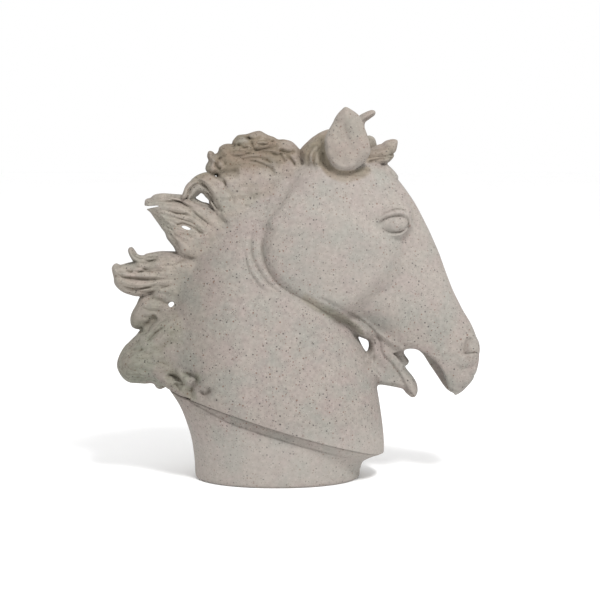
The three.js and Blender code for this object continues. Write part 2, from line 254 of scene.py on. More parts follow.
def ball(centre, radii, tilt=0.0, around=32):
    """An ellipsoid, turned by tilt degrees about Y."""
    turn = np.linspace(0, math.pi, around // 2)[1:-1]
    angle = np.linspace(0, 2 * math.pi, around, endpoint=False)
    rings = np.stack([np.outer(np.sin(turn), np.cos(angle)),
                      np.outer(np.sin(turn), np.sin(angle)),
                      np.outer(np.cos(turn), np.ones(around))], 2) * np.asarray(radii, float)
    c, s = math.cos(math.radians(tilt)), math.sin(math.radians(tilt))
    x, z = rings[..., 0] * c + rings[..., 2] * s, rings[..., 2] * c - rings[..., 0] * s
    rings = np.stack([x, rings[..., 1], z], 2) + np.asarray(centre, float)
    return skin(rings)


def closed_curve(points, steps=5):
    """A smooth closed outline through given points."""
    near = [np.roll(np.asarray(points, float), shift, 0)[:, None, :] for shift in (1, 0, -1, -2)]
    return curve(*near, (np.arange(steps) / steps)[None, :, None]).reshape(-1, 2)


# ---------------------------------------------------------------- marks in the clay

def window_round(clay, line, reach):
    """The slices and the x and z coordinates of the clay within reach of a line."""
    low = np.floor((line.min(0) - reach - LOW[[0, 2]]) / VOXEL).astype(int)
    high = np.ceil((line.max(0) + reach - LOW[[0, 2]]) / VOXEL).astype(int) + 1
    a = np.maximum(low, clay.low[[0, 2]]) - clay.low[[0, 2]]
    b = np.minimum(high, clay.high[[0, 2]]) - clay.low[[0, 2]]
    xs, zs = (slice(first, last) for first, last in zip(a, b))
    return xs, zs, clay.axis(0)[xs, :, 0], clay.axis(2)[0, :, zs]


def measure(line, x, z, closed=False):
    """Distance from each place to a line, the side it lies on, and how far along it is."""
    best = np.full((x.size, z.size), 1e9)
    side = np.zeros_like(best)
    place = np.zeros_like(best)
    inside = np.zeros(best.shape, bool)
    count = len(line) if closed else len(line) - 1
    for i in range(count):
        (ax, az), (bx, bz) = line[i], line[(i + 1) % len(line)]
        dx, dz = bx - ax, bz - az
        length = dx * dx + dz * dz + 1e-9
        t = np.clip(((x - ax) * dx + (z - az) * dz) / length, 0, 1)
        gap = np.hypot(x - ax - t * dx, z - az - t * dz)
        nearer = gap < best
        best = np.where(nearer, gap, best)
        side = np.where(nearer, np.sign(dx * (z - az) - dz * (x - ax)), side)
        place = np.where(nearer, (i + t) / count, place)
        if closed and dz:
            crosses = ((az > z) != (bz > z)) & (x < ax + (z - az) * dx / dz)
            inside ^= crosses
    return best, side, place, inside


LEAN_ROOM = 6.0           # how far a leaning slab may reach past its thickness, mm


def slab(clay, outline, y, half, edge, lean=(0, 0), blend=2.0, carve=False):
    """Adds a pillow of clay with an outline in x and z, or carves it away.

    y is its middle, half its half thickness, edge how far in its rim is rounded, and lean how
    much the middle shifts per mm of x and z away from the outline's centre.
    """
    line = closed_curve(outline)
    xs, zs, x, z = window_round(clay, line, BAND)
    gap, _, _, inside = measure(line, x, z, closed=True)
    depth = np.where(inside, gap, -gap)
    middle = y + lean[0] * (x - line[:, 0].mean()) + lean[1] * (z - line[:, 1].mean())
    across = clay.axis(1) - middle[:, None, :]
    short = np.maximum(edge - depth, 0.0)[:, None, :]
    k0 = np.sqrt((short / edge) ** 2 + (across / half) ** 2)
    k1 = np.sqrt((short / edge ** 2) ** 2 + (across / half ** 2) ** 2)
    field = np.clip(k0 * (k0 - 1) / np.maximum(k1, 1e-3), -BAND, BAND).astype(np.float32)
    clay.values[xs, :, zs] = joined(clay.values[xs, :, zs], field, blend, carve)


def block_round(outline, near, far, margin=BAND):
    """The block that holds an outline in x and z, from near to far along y."""
    (low_x, low_z), (high_x, high_z) = np.min(outline, axis=0), np.max(outline, axis=0)
    return block_of(np.array([(low_x, near, low_z), (high_x, far, high_z)], float), margin)


def slab_clay(slabs):
    outline = np.concatenate([points for points, *_ in slabs])
    near = min(y - half for _, y, half, *_ in slabs) - LEAN_ROOM
    far = max(y + half for _, y, half, *_ in slabs) + LEAN_ROOM
    clay = Clay(*block_round(outline, near, far))
    for pillow in slabs:
        slab(clay, *pillow)
    return clay


def side_mask(clay, sides):
    """How much a mark counts across Y, on the right side or on both."""
    y = clay.axis(1)
    return np.clip(0.5 - y / 8, 0, 1) if sides == "right" else np.ones_like(y)


def stroke(clay, path, width, depth, left=None, right=None, fade=0.15, sides="both", sharp=2.0):
    """Pushes the surface in along a path in x and z, or out where depth is negative.

    width is the reach of the push, and left and right set it apart on each side of the path.
    fade is the share of the path over which the push dies away at each end, and sharp is 2 for
    a soft hollow and 1 for a crease.
    """
    line = spline(path, 12 * len(path))
    left = left or width
    right = right or width
    xs, zs, x, z = window_round(clay, line, 3 * max(left, right))
    gap, side, place, _ = measure(line, x, z)
    spread = np.where(side > 0, left, right)
    push = depth * np.exp(-(gap / spread) ** sharp)
    if fade > 0:
        push *= np.clip(place / fade, 0, 1) * np.clip((1 - place) / fade, 0, 1)
    clay.values[xs, :, zs] += (push[:, None, :] * side_mask(clay, sides)).astype(np.float32)


def groove(clay, path, width, depth, fade=0.2):
    """A crease along a path in x and z."""
    stroke(clay, path, width, depth, fade=fade, sharp=1.3)


def combed(clay, first, last, count, width, depth):
    """Fine grooves that fill the space between two paths, like combed hair."""
    first, last = np.asarray(first, float), np.asarray(last, float)
    reach = np.arange(len(first))[:, None]
    for k in range(count):
        share = (k + 0.5) / count
        wave = 0.9 * np.sin(2.1 * reach + 1.7 * k)
        groove(clay, first * (1 - share) + last * share + wave * np.array([0.3, 1.0]),
               width, depth * (1 + 0.35 * math.sin(2.4 * k)), fade=0.25)


VANTAGE = (25.7, -1985.0, 448.0)   # the ways through the bust all point away from here
DRIFT = 14.0                       # mm, the most that a way drifts from its outline in the bust


def opening(clay, outline, blend=1.0, nearest=-5.0):
    """Cuts a way right through the clay; the outline is its shape in the plane y = nearest."""
    line = closed_curve(outline)
    xs, zs, x, z = window_round(clay, line, DRIFT)
    for j, y in enumerate(clay.axis(1).ravel()):
        shrink = (nearest - VANTAGE[1]) / (y - VANTAGE[1])
        gap, _, _, inside = measure(line, VANTAGE[0] + (x - VANTAGE[0]) * shrink,
                                    VANTAGE[2] + (z - VANTAGE[2]) * shrink, closed=True)
        field = np.where(inside, -gap, gap).astype(np.float32)
        clay.values[xs, j, zs] = joined(clay.values[xs, j, zs], field, blend, True)


def strands(clay, pitch=10.0, depth=0.9, wander=3.0):
    """Grooves round the edge of a lock, along the way its hair runs."""
    x, y, z = (clay.axis(k) for k in range(3))
    wave = np.abs(np.sin(math.pi * (y + wander * np.sin((x + 0.6 * z) / 13)) / pitch))
    clay.values += (depth * (1 - wave ** 0.6 * 1.6)).astype(np.float32)


def lumps(clay, size, depth, seed):
    """Gentle hand made unevenness, about one lump every size mm."""
    random = np.random.default_rng(seed)
    shape = clay.values.shape
    cells = [int(n * VOXEL / size) + 3 for n in shape]
    noise = random.uniform(-1, 1, cells).astype(np.float32)
    for axis, n in enumerate(shape):
        at = np.arange(n) * VOXEL / size
        i = at.astype(int)
        f = at - i
        f = (f * f * (3 - 2 * f)).astype(np.float32)
        f = f.reshape([-1 if k == axis else 1 for k in range(3)])
        noise = np.take(noise, i, axis) * (1 - f) + np.take(noise, i + 1, axis) * f
    clay.values += noise * depth


# ---------------------------------------------------------------- plinth and neck

LIP_HEIGHT = 67.0
LIP_SLOPE = -0.32
SEAM = 0.35               # hairline joint between castings, mm
STEP_HEIGHT = 10.5        # how far below the joint the plinth is set back
STEP_DEPTH = 1.5
# what the underside takes in: node, top of its pocket, room round it
POCKETS = (("base_mat", 2.0, 1.3), ("base_plate", 7.2, 0.4), ("sand_ballast", 34.0, 1.5))


def lip_field(clay, raised=0.0):
    """Height above the oblique joint, over the clay's block."""
    rise = (clay.axis(2) - (LIP_HEIGHT + LIP_SLOPE * clay.axis(0)) - raised) / math.hypot(1, LIP_SLOPE)
    return np.broadcast_to(rise, clay.values.shape).astype(np.float32)


# stations for loft: back x and z, front x and z, half width, widest place, roundness of each half
PLINTH = [
    (-93, 0.3, 93, 0.3, 64, .5, 2.1, 2.1),
    (-95, 4, 94.5, 3.5, 66, .5, 2.1, 2.1),
    (-96, 22, 95, 12, 66, .5, 2.1, 2.1),
    (-99, 45, 95, 18, 66, .5, 2.2, 2.1),
    (-105, 66, 95, 24, 66, .5, 2.3, 2.1),
    (-113, 86, 96, 31, 65.5, .5, 2.5, 2.1),
    (-124, 104, 97, 38, 65, .5, 2.7, 2.1),
    (-138, 124, 98, 46, 64, .5, 2.8, 2.1),
]

# the plinth's flare under the chest, in rings parallel to the joint
FLARE = [
    (-95, 72.8, 95, 12, 62, .5, 2.1, 2.2),
    (-95, 81, 99, 19, 63, .5, 2.1, 2.2),
    (-95, 87, 106, 23, 64, .5, 2.1, 2.2),
    (-95, 93, 114, 26, 64.5, .5, 2.1, 2.2),
    (-95, 98, 121, 28.5, 65, .5, 2.1, 2.2),
    (-95, 104, 124, 35, 65, .5, 2.1, 2.2),
]

NECK = [
    (-128, 96, 122, 10, 73, .5, 2.3, 2.2),
    (-129, 120, 122, 44, 73.5, .5, 2.3, 2.2),
    (-126, 152, 118, 78, 70.5, .5, 2.3, 2.2),
    (-121, 190, 112, 114, 64, .5, 2.2, 2.2),
    (-111, 228, 102, 145, 57, .5, 2.2, 2.2),
    (-94, 262, 90, 166, 50, .52, 2.1, 2.3),
    (-70, 293, 82, 196, 44, .54, 2.0, 2.3),
    (-40, 322, 78, 236, 39, .56, 1.9, 2.3),
    (-8, 348, 80, 282, 33, .58, 1.8, 2.3),
    (24, 367, 82, 322, 26, .58, 1.8, 2.2),
    (44, 373, 84, 346, 18, .55, 2.0, 2.0),
]


def step(clay):
    """Sets the plinth back a little under the lip of the neck, less so at both ends."""
    x = clay.axis(0)
    reach = STEP_HEIGHT * np.interp(x, (-100, -50), (0.2, 1.0))
    band = np.clip((lip_field(clay) + reach) / 0.8 + 0.5, 0, 1)
    clay.values += (STEP_DEPTH * np.interp(x, (60, 100), (1.0, 0.0)) * band).astype(np.float32)


def plinth_clay():
    clay = clay_of(loft(PLINTH))
    flare = clay_of(loft(FLARE))
    clay = grown(clay, flare)
    merge(clay, flare, 3.0)
    step(clay)
    clay.values = joined(clay.values, -lip_field(clay, -SEAM), 2.0, True)
    for node, top, room in POCKETS:
        low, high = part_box(node)
        reach_x, reach_y = ((high - low).xy / 2 / MM)[:]
        pocket = [(-reach_x - room, z, reach_x + room, z, reach_y + room, .5, 2.1, 2.1)
                  for z in (-4, top / 2, top)]
        press(clay, loft(pocket), carve=True)
    return clay


def neck_clay():
    clay = clay_of(loft(NECK))
    clay.values = joined(clay.values, lip_field(clay), 1.0, True)
    return clay


# ---------------------------------------------------------------- head

HEAD = [
    (12, 342, 44, 374, 24, .5, 2.0, 2.0),
    (4, 316, 76, 375, 40, .5, 2.4, 2.4),
    (-10, 290, 108, 364, 47, .5, 2.6, 2.5),
    (-17, 265, 125.5, 353, 50, .45, 2.8, 2.4),
    (-10, 238, 143.5, 333, 50, .42, 2.8, 2.2),
    (12, 216, 158, 312, 48, .40, 2.6, 2.0),
    (38, 200, 169.5, 290, 44, .38, 2.2, 1.9),
    (67, 186, 180.5, 266, 39, .36, 1.9, 1.9),
    (92, 176, 190, 241, 34, .36, 1.8, 2.0),
    (111, 162, 199.5, 217, 31, .38, 1.9, 2.1),
    (126, 150, 209.5, 197.5, 29, .42, 2.4, 2.2),
    (146, 147, 219, 181, 28, .5, 3.0, 2.2),
    (163, 140, 226.5, 164.5, 29, .5, 3.2, 2.2),
    (175, 124, 230.2, 149, 29, .5, 3.2, 2.2),
    (185, 109.5, 230.2, 133, 26, .5, 3.0, 2.1),
    (193, 99, 225.6, 116.5, 22, .5, 2.6, 2.0),
    (202, 94.3, 216, 104.5, 11, .5, 2.0, 2.0),
]

# the round plate of the cheek
CHEEK = [(20, 326), (-4, 310), (-19, 292), (-27, 270), (-26, 247), (-14.5, 222), (7, 203.5), (30, 192),
         (53, 184), (80, 186), (104, 202), (130, 226), (143, 256), (140, 286), (112, 302),
         (84, 318), (50, 330)]

# the lower jaw and the tongue: outline, middle y, half thickness, rounding of the rim
JAW = [
    ([(112.5, 109), (124.5, 106.2), (134, 104.6), (143, 101.8), (148.6, 96.4), (154, 92.8), (159, 94.2),
      (161.8, 101), (160.5, 108.8), (156, 116.7), (151, 122.7), (147, 128), (150.5, 133),
      (147, 141), (146, 149), (138, 153), (124, 163), (112, 171), (107, 164), (105, 156), (104.5, 147),
      (103, 130), (104, 118)], 0, 19, 8),
    ([(98, 121), (108, 115), (120, 110.5), (122, 124), (114, 140), (109, 150), (105, 148), (102, 142),
      (98, 132)], 0, 23, 12),
    ([(102, 178), (122, 174), (142, 162), (148, 152), (142, 144), (128, 150), (114, 160), (105, 168)],
     0, 24, 12),
]
TONGUE = [
    ([(124, 157), (136, 155), (142, 151), (144.5, 146), (146.5, 141), (150.3, 135.5), (150, 131.5),
      (147, 129), (142, 130), (132, 138), (120, 148)], 0, 10, 5),
]
# the open mouth between the jaw and the lips
MOUTH = [(160.6, 100.7), (159.6, 108.6), (155.3, 116.5), (150.4, 122.4), (146.6, 127.9), (149.9, 131.9),
         (150.5, 135.2), (146.7, 140.7), (144.4, 145.0), (145.7, 147.8), (151.1, 149.0), (158.9, 148.0),
         (165.7, 142.9), (172.6, 132.4), (180.5, 120.3), (187.4, 110.2), (193.5, 102.9), (198, 99.4),
         (202, 97), (203, 86), (161, 86)]
# the way through between the throat, the neck and the jaw
THROAT_GAP = [(93.0, 161.2), (97, 160.8), (100.4, 158.8), (103.4, 155.8), (104.1, 152), (103.2, 147.5),
              (101.5, 145.6), (98.5, 149.2), (94.8, 156)]


def head_clay():
    """The head with its cheeks, brows and nostrils, and the soft band of the throat."""
    clay = clay_of(loft(HEAD, 90))
    merge(clay, slab_clay([(CHEEK, 0, 53, 27)]), 8)
    for side in (1, -1):
        cheek = ball((62, 34 * side, 266), (64, 19.5, 66))
        press(clay, cheek, 10)
        orbit = ball((126, 30 * side, 299), (27, 14, 19), -12)
        press(clay, orbit, 12)
        nostril = ball((217, 18 * side, 152), (12, 11, 15))
        press(clay, nostril, 8)
    throat = sweep([(38, 0, 208), (57, 0, 200), (73, 0, 192), (88, 0, 182.5), (100, 0, 173), (110, 0, 162)],
                   [(11, 43), (13, 41), (13.5, 36.5), (13.2, 31), (12.8, 27), (10, 23)])
    press(clay, throat, 6)
    return clay


def jaw_clay():
    """The lower jaw, hollowed along the floor of the mouth."""
    clay = slab_clay(JAW)
    hollow = sweep([(130, 0, 150), (146, 0, 136), (158, 0, 116), (163, 0, 98)],
                   [(4, 11), (5, 11), (4, 8), (3, 4)])
    press(clay, hollow, 2, carve=True)
    return clay


def carve_head(clay):
    """The hollow of the mouth, the lifted lip on the right side and the nostrils."""
    roof = sweep([(148, 0, 143), (162, 0, 139), (173, 0, 131), (181, 0, 121), (188, 0, 109), (196, 0, 98)],
                 [(5, 12), (8, 13), (13.5, 14), (15.5, 14), (13, 13), (6, 9)])
    press(clay, roof, 1.5, carve=True)
    slab(clay, [(160, 150), (167.6, 147.6), (176, 141.4), (183.1, 133.7), (188.2, 125.7), (191.8, 116.8),
                (195.4, 108.6), (200, 101), (190, 94), (174, 108), (158, 128), (152, 142)],
         -34, 25, 3, blend=2, carve=True)
    for side in (1, -1):
        hole = sweep(on_side(side, [(232, 21, 153), (224, 18, 152), (216, 15, 148)]),
                     [(3.0, 5), (2.6, 4.5), (2, 3)], side=(0, 0, 1))
        press(clay, hole, 1.5, carve=True)


def eye(clay):
    for side in (1, -1):
        eyeball = ball((128, 37.5 * side, 295.5), (18.5, 12.5, 12.5), -5)
        press(clay, eyeball, 1.5)
        upper = sweep(on_side(side, [(107, 40, 293), (114, 43, 300.5), (121, 45, 305), (129, 46, 307.5),
                                     (137, 44.5, 308), (144, 41, 304.5), (148, 37, 297), (147, 35, 290)]),
                      [(2.2, 4.0), (3.2, 5.0), (3.6, 5.5), (3.8, 5.5), (3.8, 5.5), (3.4, 5.0), (2.8, 4.4),
                       (2.0, 4)])
        press(clay, upper, 2.5)
        lower = sweep(on_side(side, [(110, 39, 290.5), (118, 42, 285), (127, 43, 282.5), (137, 41, 283.5),
                                     (145, 36, 287.5)]),
                      [(1.5, 4), (2.0, 4.6), (2.2, 4.8), (2.0, 4.4), (1.5, 4)])
        press(clay, lower, 3.0)


def eye_strokes(clay):
    groove(clay, [(108, 291), (111, 293), (115, 297), (119, 300), (127, 304), (135, 305.2), (142, 304),
                  (145, 300), (146, 296), (146, 291), (144.5, 287.5)], 1.3, 1.0, fade=0.1)
    groove(clay, [(113, 302.3), (117, 305.8), (122, 308), (128, 309.8), (133, 310.6), (138.5, 310.4),
                  (143.5, 308), (147, 303)], 1.2, 1.3, fade=0.2)
    groove(clay, [(111, 292), (118, 288), (127, 285.6), (136, 285.6), (143, 288)], 1.2, 0.8)
    stroke(clay, [(150, 310), (151.5, 304), (150.5, 298), (148, 292)], 3.6, 2.4, fade=0.4)
    stroke(clay, [(146, 288), (144, 280), (141.5, 270)], 3.6, 1.2, fade=0.3)
    stroke(clay, [(94, 305), (103, 301), (110, 299)], 5.0, 1.3, fade=0.4)
    stroke(clay, [(82, 330), (92, 318), (102, 306)], 9.0, 1.6, fade=0.4)


def face_strokes(clay):
    # the edge of the cheek towards the nose and the jaw
    stroke(clay, [(147, 288), (144, 276), (142, 258), (138, 240), (129, 224), (108, 213), (92, 207)],
           6, 1.7, left=12, right=4, fade=0.3)
    # bumps where hair lies on the forehead
    stroke(clay, [(119, 361.5), (127, 355.5), (133, 348.5), (136, 342)], 3.6, -3.8, fade=0.2)
    stroke(clay, [(112, 350), (122, 349), (132, 345)], 2.2, 0.9, fade=0.3)
    # the nostril, its wing and its crease
    groove(clay, [(222, 164.5), (219, 163), (215, 160.5), (212, 155), (211, 148.2), (213, 143)], 3.0, 4.2,
           fade=0.25)
    groove(clay, [(210.5, 146.5), (217, 147.6), (226, 148)], 1.3, 3.0, fade=0.2)
    stroke(clay, [(200, 133), (210, 129), (219.6, 130.1), (227, 133)], 2.6, 2.2, fade=0.3)
    stroke(clay, [(214, 156), (220, 153), (228, 155)], 4.0, -1.3, fade=0.3)
    # the jaw line from under the cheek down to the chin, with the plane under it
    stroke(clay, [(46, 214), (59, 208), (67, 203), (88, 190), (107, 174), (115, 164), (117, 152),
                  (119.5, 144), (129, 134.3), (139, 120.6), (144.8, 108.9), (149.5, 100)],
           2.0, 2.6, left=1.6, right=4.5, fade=0.08, sharp=1.4)
    groove(clay, [(98, 172), (106, 163.6), (113, 154), (117, 147)], 1.6, 0.7)
    stroke(clay, [(104, 140), (114, 132), (125, 123), (136, 113)], 7.5, 3.5, fade=0.15)
    stroke(clay, [(60, 191), (70, 186), (80, 180), (88, 174)], 5.0, 2.0, fade=0.3)
    # the wavy edge of the upper lip
    groove(clay, [(196, 108), (206, 108), (218, 112)], 2.0, 0.9)
    groove(clay, [(216, 122), (224, 119), (230, 118)], 2.0, 0.9)


def bare_mouth(clay):
    """The jaw drops away from the tongue on the right side."""
    slab(clay, [(130.5, 145.5), (138, 148.3), (144, 149.3), (150, 150), (152, 141), (155, 135), (149, 129),
                (139.4, 135.7), (134.0, 142)], -28, 19, 3, blend=1.5, carve=True)


def jowl_crease(clay):
    # the neck drops away behind and under the cheek
    stroke(clay, [(-6, 296), (-13, 284), (-17, 270), (-14, 251), (-3, 232), (16, 218), (37, 207),
                  (58, 194), (75, 186), (90, 172)], 4, 3.0, left=11.0, right=1.4, fade=0.25, sharp=1.5)
    stroke(clay, [(-10, 288), (-4, 302), (8, 318), (24, 336)], 9, -2.8, fade=0.2)
    # the two soft folds of the neck outside it
    groove(clay, [(-24, 298), (-29, 277), (-28, 260), (-22, 246), (-12, 231), (1, 220), (16, 211)],
           2.0, 2.7, fade=0.25)
    groove(clay, [(-38, 270), (-35, 258), (-32, 244), (-24, 231), (-14, 221), (0, 213)], 2.4, 2.2, fade=0.3)
    stroke(clay, [(-33, 280), (-33, 262), (-28, 246), (-17, 230), (-4, 219)], 3.5, -1.2, fade=0.3)


# ---------------------------------------------------------------- ears and hair

EARS = {
    "right_ear": [
        ([(76, 424), (71, 420.5), (66, 415), (60.5, 406), (56.8, 399), (53.6, 392), (52.4, 385), (53.6, 377),
          (57.4, 368), (62, 360), (66.5, 355), (74, 353), (84, 354), (93, 359.5), (99, 366), (103, 373),
          (103, 381), (100.5, 391), (97, 401), (93.5, 410), (89, 416), (82, 421)],
         -43, 11.5, 17, (0, -0.07)),
    ],
    "left_ear": [
        ([(77, 350), (79, 380), (84, 402), (93, 412), (101, 416.5), (108, 419), (112, 417.5),
          (111, 413.5), (105, 409), (100, 404), (101, 392), (103, 372), (98, 350)], 42, 12, 12,
         (0, 0.07)),
    ],
}


def mark_right_ear(clay):
    """The shallow cup of the ear and its raised rim."""
    stroke(clay, [(72, 412), (74, 398), (78, 382)], 7, 3.4, left=5, right=10, fade=0.4, sides="right")
    stroke(clay, [(57, 392), (57, 378), (63, 364), (76, 358), (90, 363)], 2.6, -1.4, sides="right")


def shade_and_stain_patches():
    """Patches that take painted shade and stain: round the foot of the right ear, under the cheek, at the
    nape.
    """
    ear = sweep([(48, -40, 384), (49, -40, 368), (56, -40, 356), (66, -40, 350), (77, -40, 347.5),
                 (90, -40, 349), (101, -40, 355), (106, -40, 364)],
                [(4, 10), (5, 10), (5.5, 10), (5, 10), (4, 10)])
    throat = sweep([(30, -45, 213), (45, -44, 203), (60, -42, 194), (75, -38, 186), (89, -33, 176),
                    (98, -28, 166)],
                   [(3, 16), (5, 16), (6, 16), (5, 16), (3, 14)])
    nape = sweep([(-128, -46, 117), (-118, -50, 115), (-107, -54, 111), (-98, -56, 106), (-92, -58, 100)],
                 [(4, 18), (6, 18), (7, 18), (5, 18)])
    return [clay_of(patch) for patch in (ear, throat, nape)]


def ear_crevices(clay):
    """The dark gap between the right ear and the tuft behind it."""
    stroke(clay, [(50, 390), (48.5, 382), (49, 372), (54, 362), (62, 354)], 3.6, 3.0, fade=0.25,
           sides="right", sharp=3)


# the bulk of the hair: outline in x and z, middle y, half thickness, rounding of the rim
FORELOCK = [
    ([(82, 350), (90, 366), (100, 374), (108, 378), (113, 380.5), (118, 382), (122, 385),
      (128, 386.5), (134, 386), (135, 383), (134, 377), (132.5, 373.5), (130, 371.5), (131, 369),
      (128, 365), (123, 361.5), (114, 360), (104, 357), (94, 348)], -6, 16, 9),
    ([(94, 360), (98, 382), (102, 390), (106, 390.5), (110, 388), (112, 383), (113, 376),
      (110, 364)], 17, 10, 7),
]
POLL = [
    ([(27, 366), (26, 374), (29, 379), (34, 384), (41, 390), (49, 395), (58, 398), (68, 397),
      (74, 386), (76, 368), (64, 352), (46, 350), (34, 356)], -8, 29, 13),
]
CREST = [
    ([(38, 348), (30, 366), (26, 374), (21, 380), (15, 384.5), (8, 386.5), (1, 386.5), (-4, 389.5),
      (-10, 391.5), (-15, 394), (-19, 396), (-24, 395.5), (-32, 393), (-39, 392), (-44, 391),
      (-47, 388), (-50, 384), (-50, 381.5), (-56, 381.5), (-61, 380.5), (-65, 378), (-66, 374),
      (-68, 371), (-71, 370.5), (-73, 373), (-77, 373.5), (-78.5, 368), (-77, 363), (-80, 357),
      (-79, 351), (-66, 338), (-50, 306), (-20, 312), (14, 326)], -2, 19, 9),
]
ARCH = [
    ([(-108, 321), (-106, 328), (-103, 335), (-98, 341), (-93, 346), (-86, 349), (-79, 350),
      (-66, 348), (-50, 334), (-24, 300), (-40, 280), (-60, 294), (-70, 308), (-75.5, 317),
      (-77.5, 325), (-81, 332), (-85, 335.5), (-91, 335.5), (-97, 331), (-102, 322)],
     -12, 11, 8),
    ([(-104, 318), (-101, 332), (-92, 343), (-79, 347), (-60, 340), (-40, 310), (-50, 290),
      (-64, 292), (-72, 304), (-77, 316), (-80, 321), (-86, 327), (-93, 321),
      (-99, 316)], -1, 17, 8),
]
MANE = [
    ([(-149.5, 316), (-148, 319.5), (-143, 321), (-139, 324.5), (-130, 326), (-119, 326),
      (-108, 325), (-100, 323), (-93, 320.5), (-85, 316.5), (-77, 314), (-64, 304), (-50, 292),
      (-50, 270), (-76, 250), (-96, 250), (-110, 255), (-114, 260), (-117, 266), (-121, 271),
      (-125, 276), (-127, 282), (-131, 287), (-137, 296), (-143, 305), (-149, 310)], -2, 21, 15),
    ([(-166, 264.5), (-169, 262), (-167.5, 256), (-164.5, 250.5), (-163.5, 248.5), (-172, 246.5),
      (-179, 245), (-184, 246.5), (-187.5, 243), (-187.5, 238), (-186, 230), (-185, 224),
      (-180, 218), (-173, 213.5), (-162, 210), (-150, 210), (-141, 211), (-120, 206), (-96, 200),
      (-80, 220), (-80, 250), (-96, 257), (-113, 259.5), (-124, 260), (-132, 260),
      (-142, 258.5), (-150, 257), (-157, 256.5), (-161, 259)], -1, 22, 14),
    ([(-146, 214), (-152, 211), (-156, 208), (-160, 201), (-164, 194), (-167, 187), (-168, 180),
      (-166, 174), (-161, 171), (-150, 164), (-130, 158), (-104, 156), (-90, 180), (-96, 214),
      (-120, 220), (-136, 219)], 2, 22, 10),
    ([(-157.5, 169.5), (-163, 162.5), (-171, 155), (-176.5, 148.5), (-181, 140.5), (-182.8, 133),
      (-182, 126), (-178, 118), (-172, 112.5), (-165, 110), (-151, 109.5), (-142, 109.5),
      (-138, 104.8), (-133, 103.3), (-127, 106), (-121, 107), (-112, 103), (-92, 99), (-76, 130),
      (-84, 168), (-100, 196), (-122, 196), (-140, 184), (-150, 175)], -2, 38, 26),
]
NAPE = [
    ([(-136, 121), (-131, 127), (-123, 130), (-115, 127), (-110, 119), (-112, 110), (-118, 107),
      (-125, 109), (-130, 114)], -27, 13, 9),
    ([(-113, 132), (-102, 130), (-93, 124), (-92, 115), (-96, 107), (-102, 104), (-108, 109),
      (-112, 119)], -36, 14, 10),
    ([(-92, 130), (-82, 132), (-75, 124), (-74, 114), (-79, 108), (-86, 106), (-91, 113)],
     -44, 13, 10),
]

# lines in x and z where the hair is cut into castings
CREST_FRONT_CUT = [(2, 344), (-8, 368), (-26, 382), (-30, 402)]
CREST_REAR_CUT = [(-22, 332), (-36, 362), (-51, 381)]
CREST_LOW_CUT = [(-40, 322), (-56, 356), (-68, 370), (-68, 384)]
WIND_CUT = [(-104, 324), (-94, 321), (-86, 317), (-77, 315), (-66, 306)]
HANGING_CUT = [(-156, 312.4), (-142, 312.4), (-133, 317), (-120, 317.5), (-106, 314), (-97, 308),
               (-89, 302), (-81, 296), (-71, 290)]
FAN_CUT = [(-172, 250), (-150, 248.5), (-133, 246), (-110, 247), (-92, 246)]
LOBE_CUT = [(-152, 211), (-140, 209), (-122, 212), (-96, 222)]
FALL_CUT = [(-158, 169.5), (-140, 186), (-124, 192), (-98, 196)]

# which stretch of the hair each casting takes, as outlines in x and z
CASTINGS = {
    "forelock_side": [(94, 384), (100, 396), (114, 396), (114, 382), (104, 381)],
    "forelock_centre": [(84, 350), (90, 384), (114, 386), (140, 396), (142, 360), (110, 350)],
    "poll_tuft": [(24, 352), (22, 384), (50, 404), (80, 404), (82, 350), (50, 345)],
    "crest_tuft_front": [(38, 348), (32, 384), (10, 398)] + CREST_FRONT_CUT[::-1],
    "crest_tuft_middle": CREST_FRONT_CUT + [(-54, 396)] + CREST_REAR_CUT[::-1],
    "crest_tuft_rear": CREST_REAR_CUT + [(-54, 388)] + CREST_LOW_CUT[::-1],
    "crest_tuft_low": CREST_LOW_CUT + [(-86, 378), (-84, 351), (-70, 351), (-60, 342), (-52, 318)],
    "mane_arch_lock": [(-114, 325), (-108, 352), (-82, 356), (-70, 351), (-60, 342), (-44, 310),
                       (-58, 292)] + WIND_CUT[::-1],
    "mane_wind_lock": [(-154, 330), (-112, 332)] + WIND_CUT + [(-58, 288)] + HANGING_CUT[::-1],
    "mane_hanging_lock": HANGING_CUT + [(-64, 270), (-92, 250), (-116, 252), (-134, 280)],
    "mane_whisk_lock": [(-176, 272), (-120, 272), (-94, 258)] + FAN_CUT[::-1],
    "mane_fan_lock": FAN_CUT + LOBE_CUT[::-1] + [(-176, 204), (-196, 226), (-196, 256)],
    "mane_lobe_lock": LOBE_CUT + FALL_CUT[::-1] + [(-176, 170), (-172, 200)],
    "mane_fall_lock": FALL_CUT + [(-94, 150), (-106, 126), (-138, 100), (-190, 104), (-194, 150)],
}

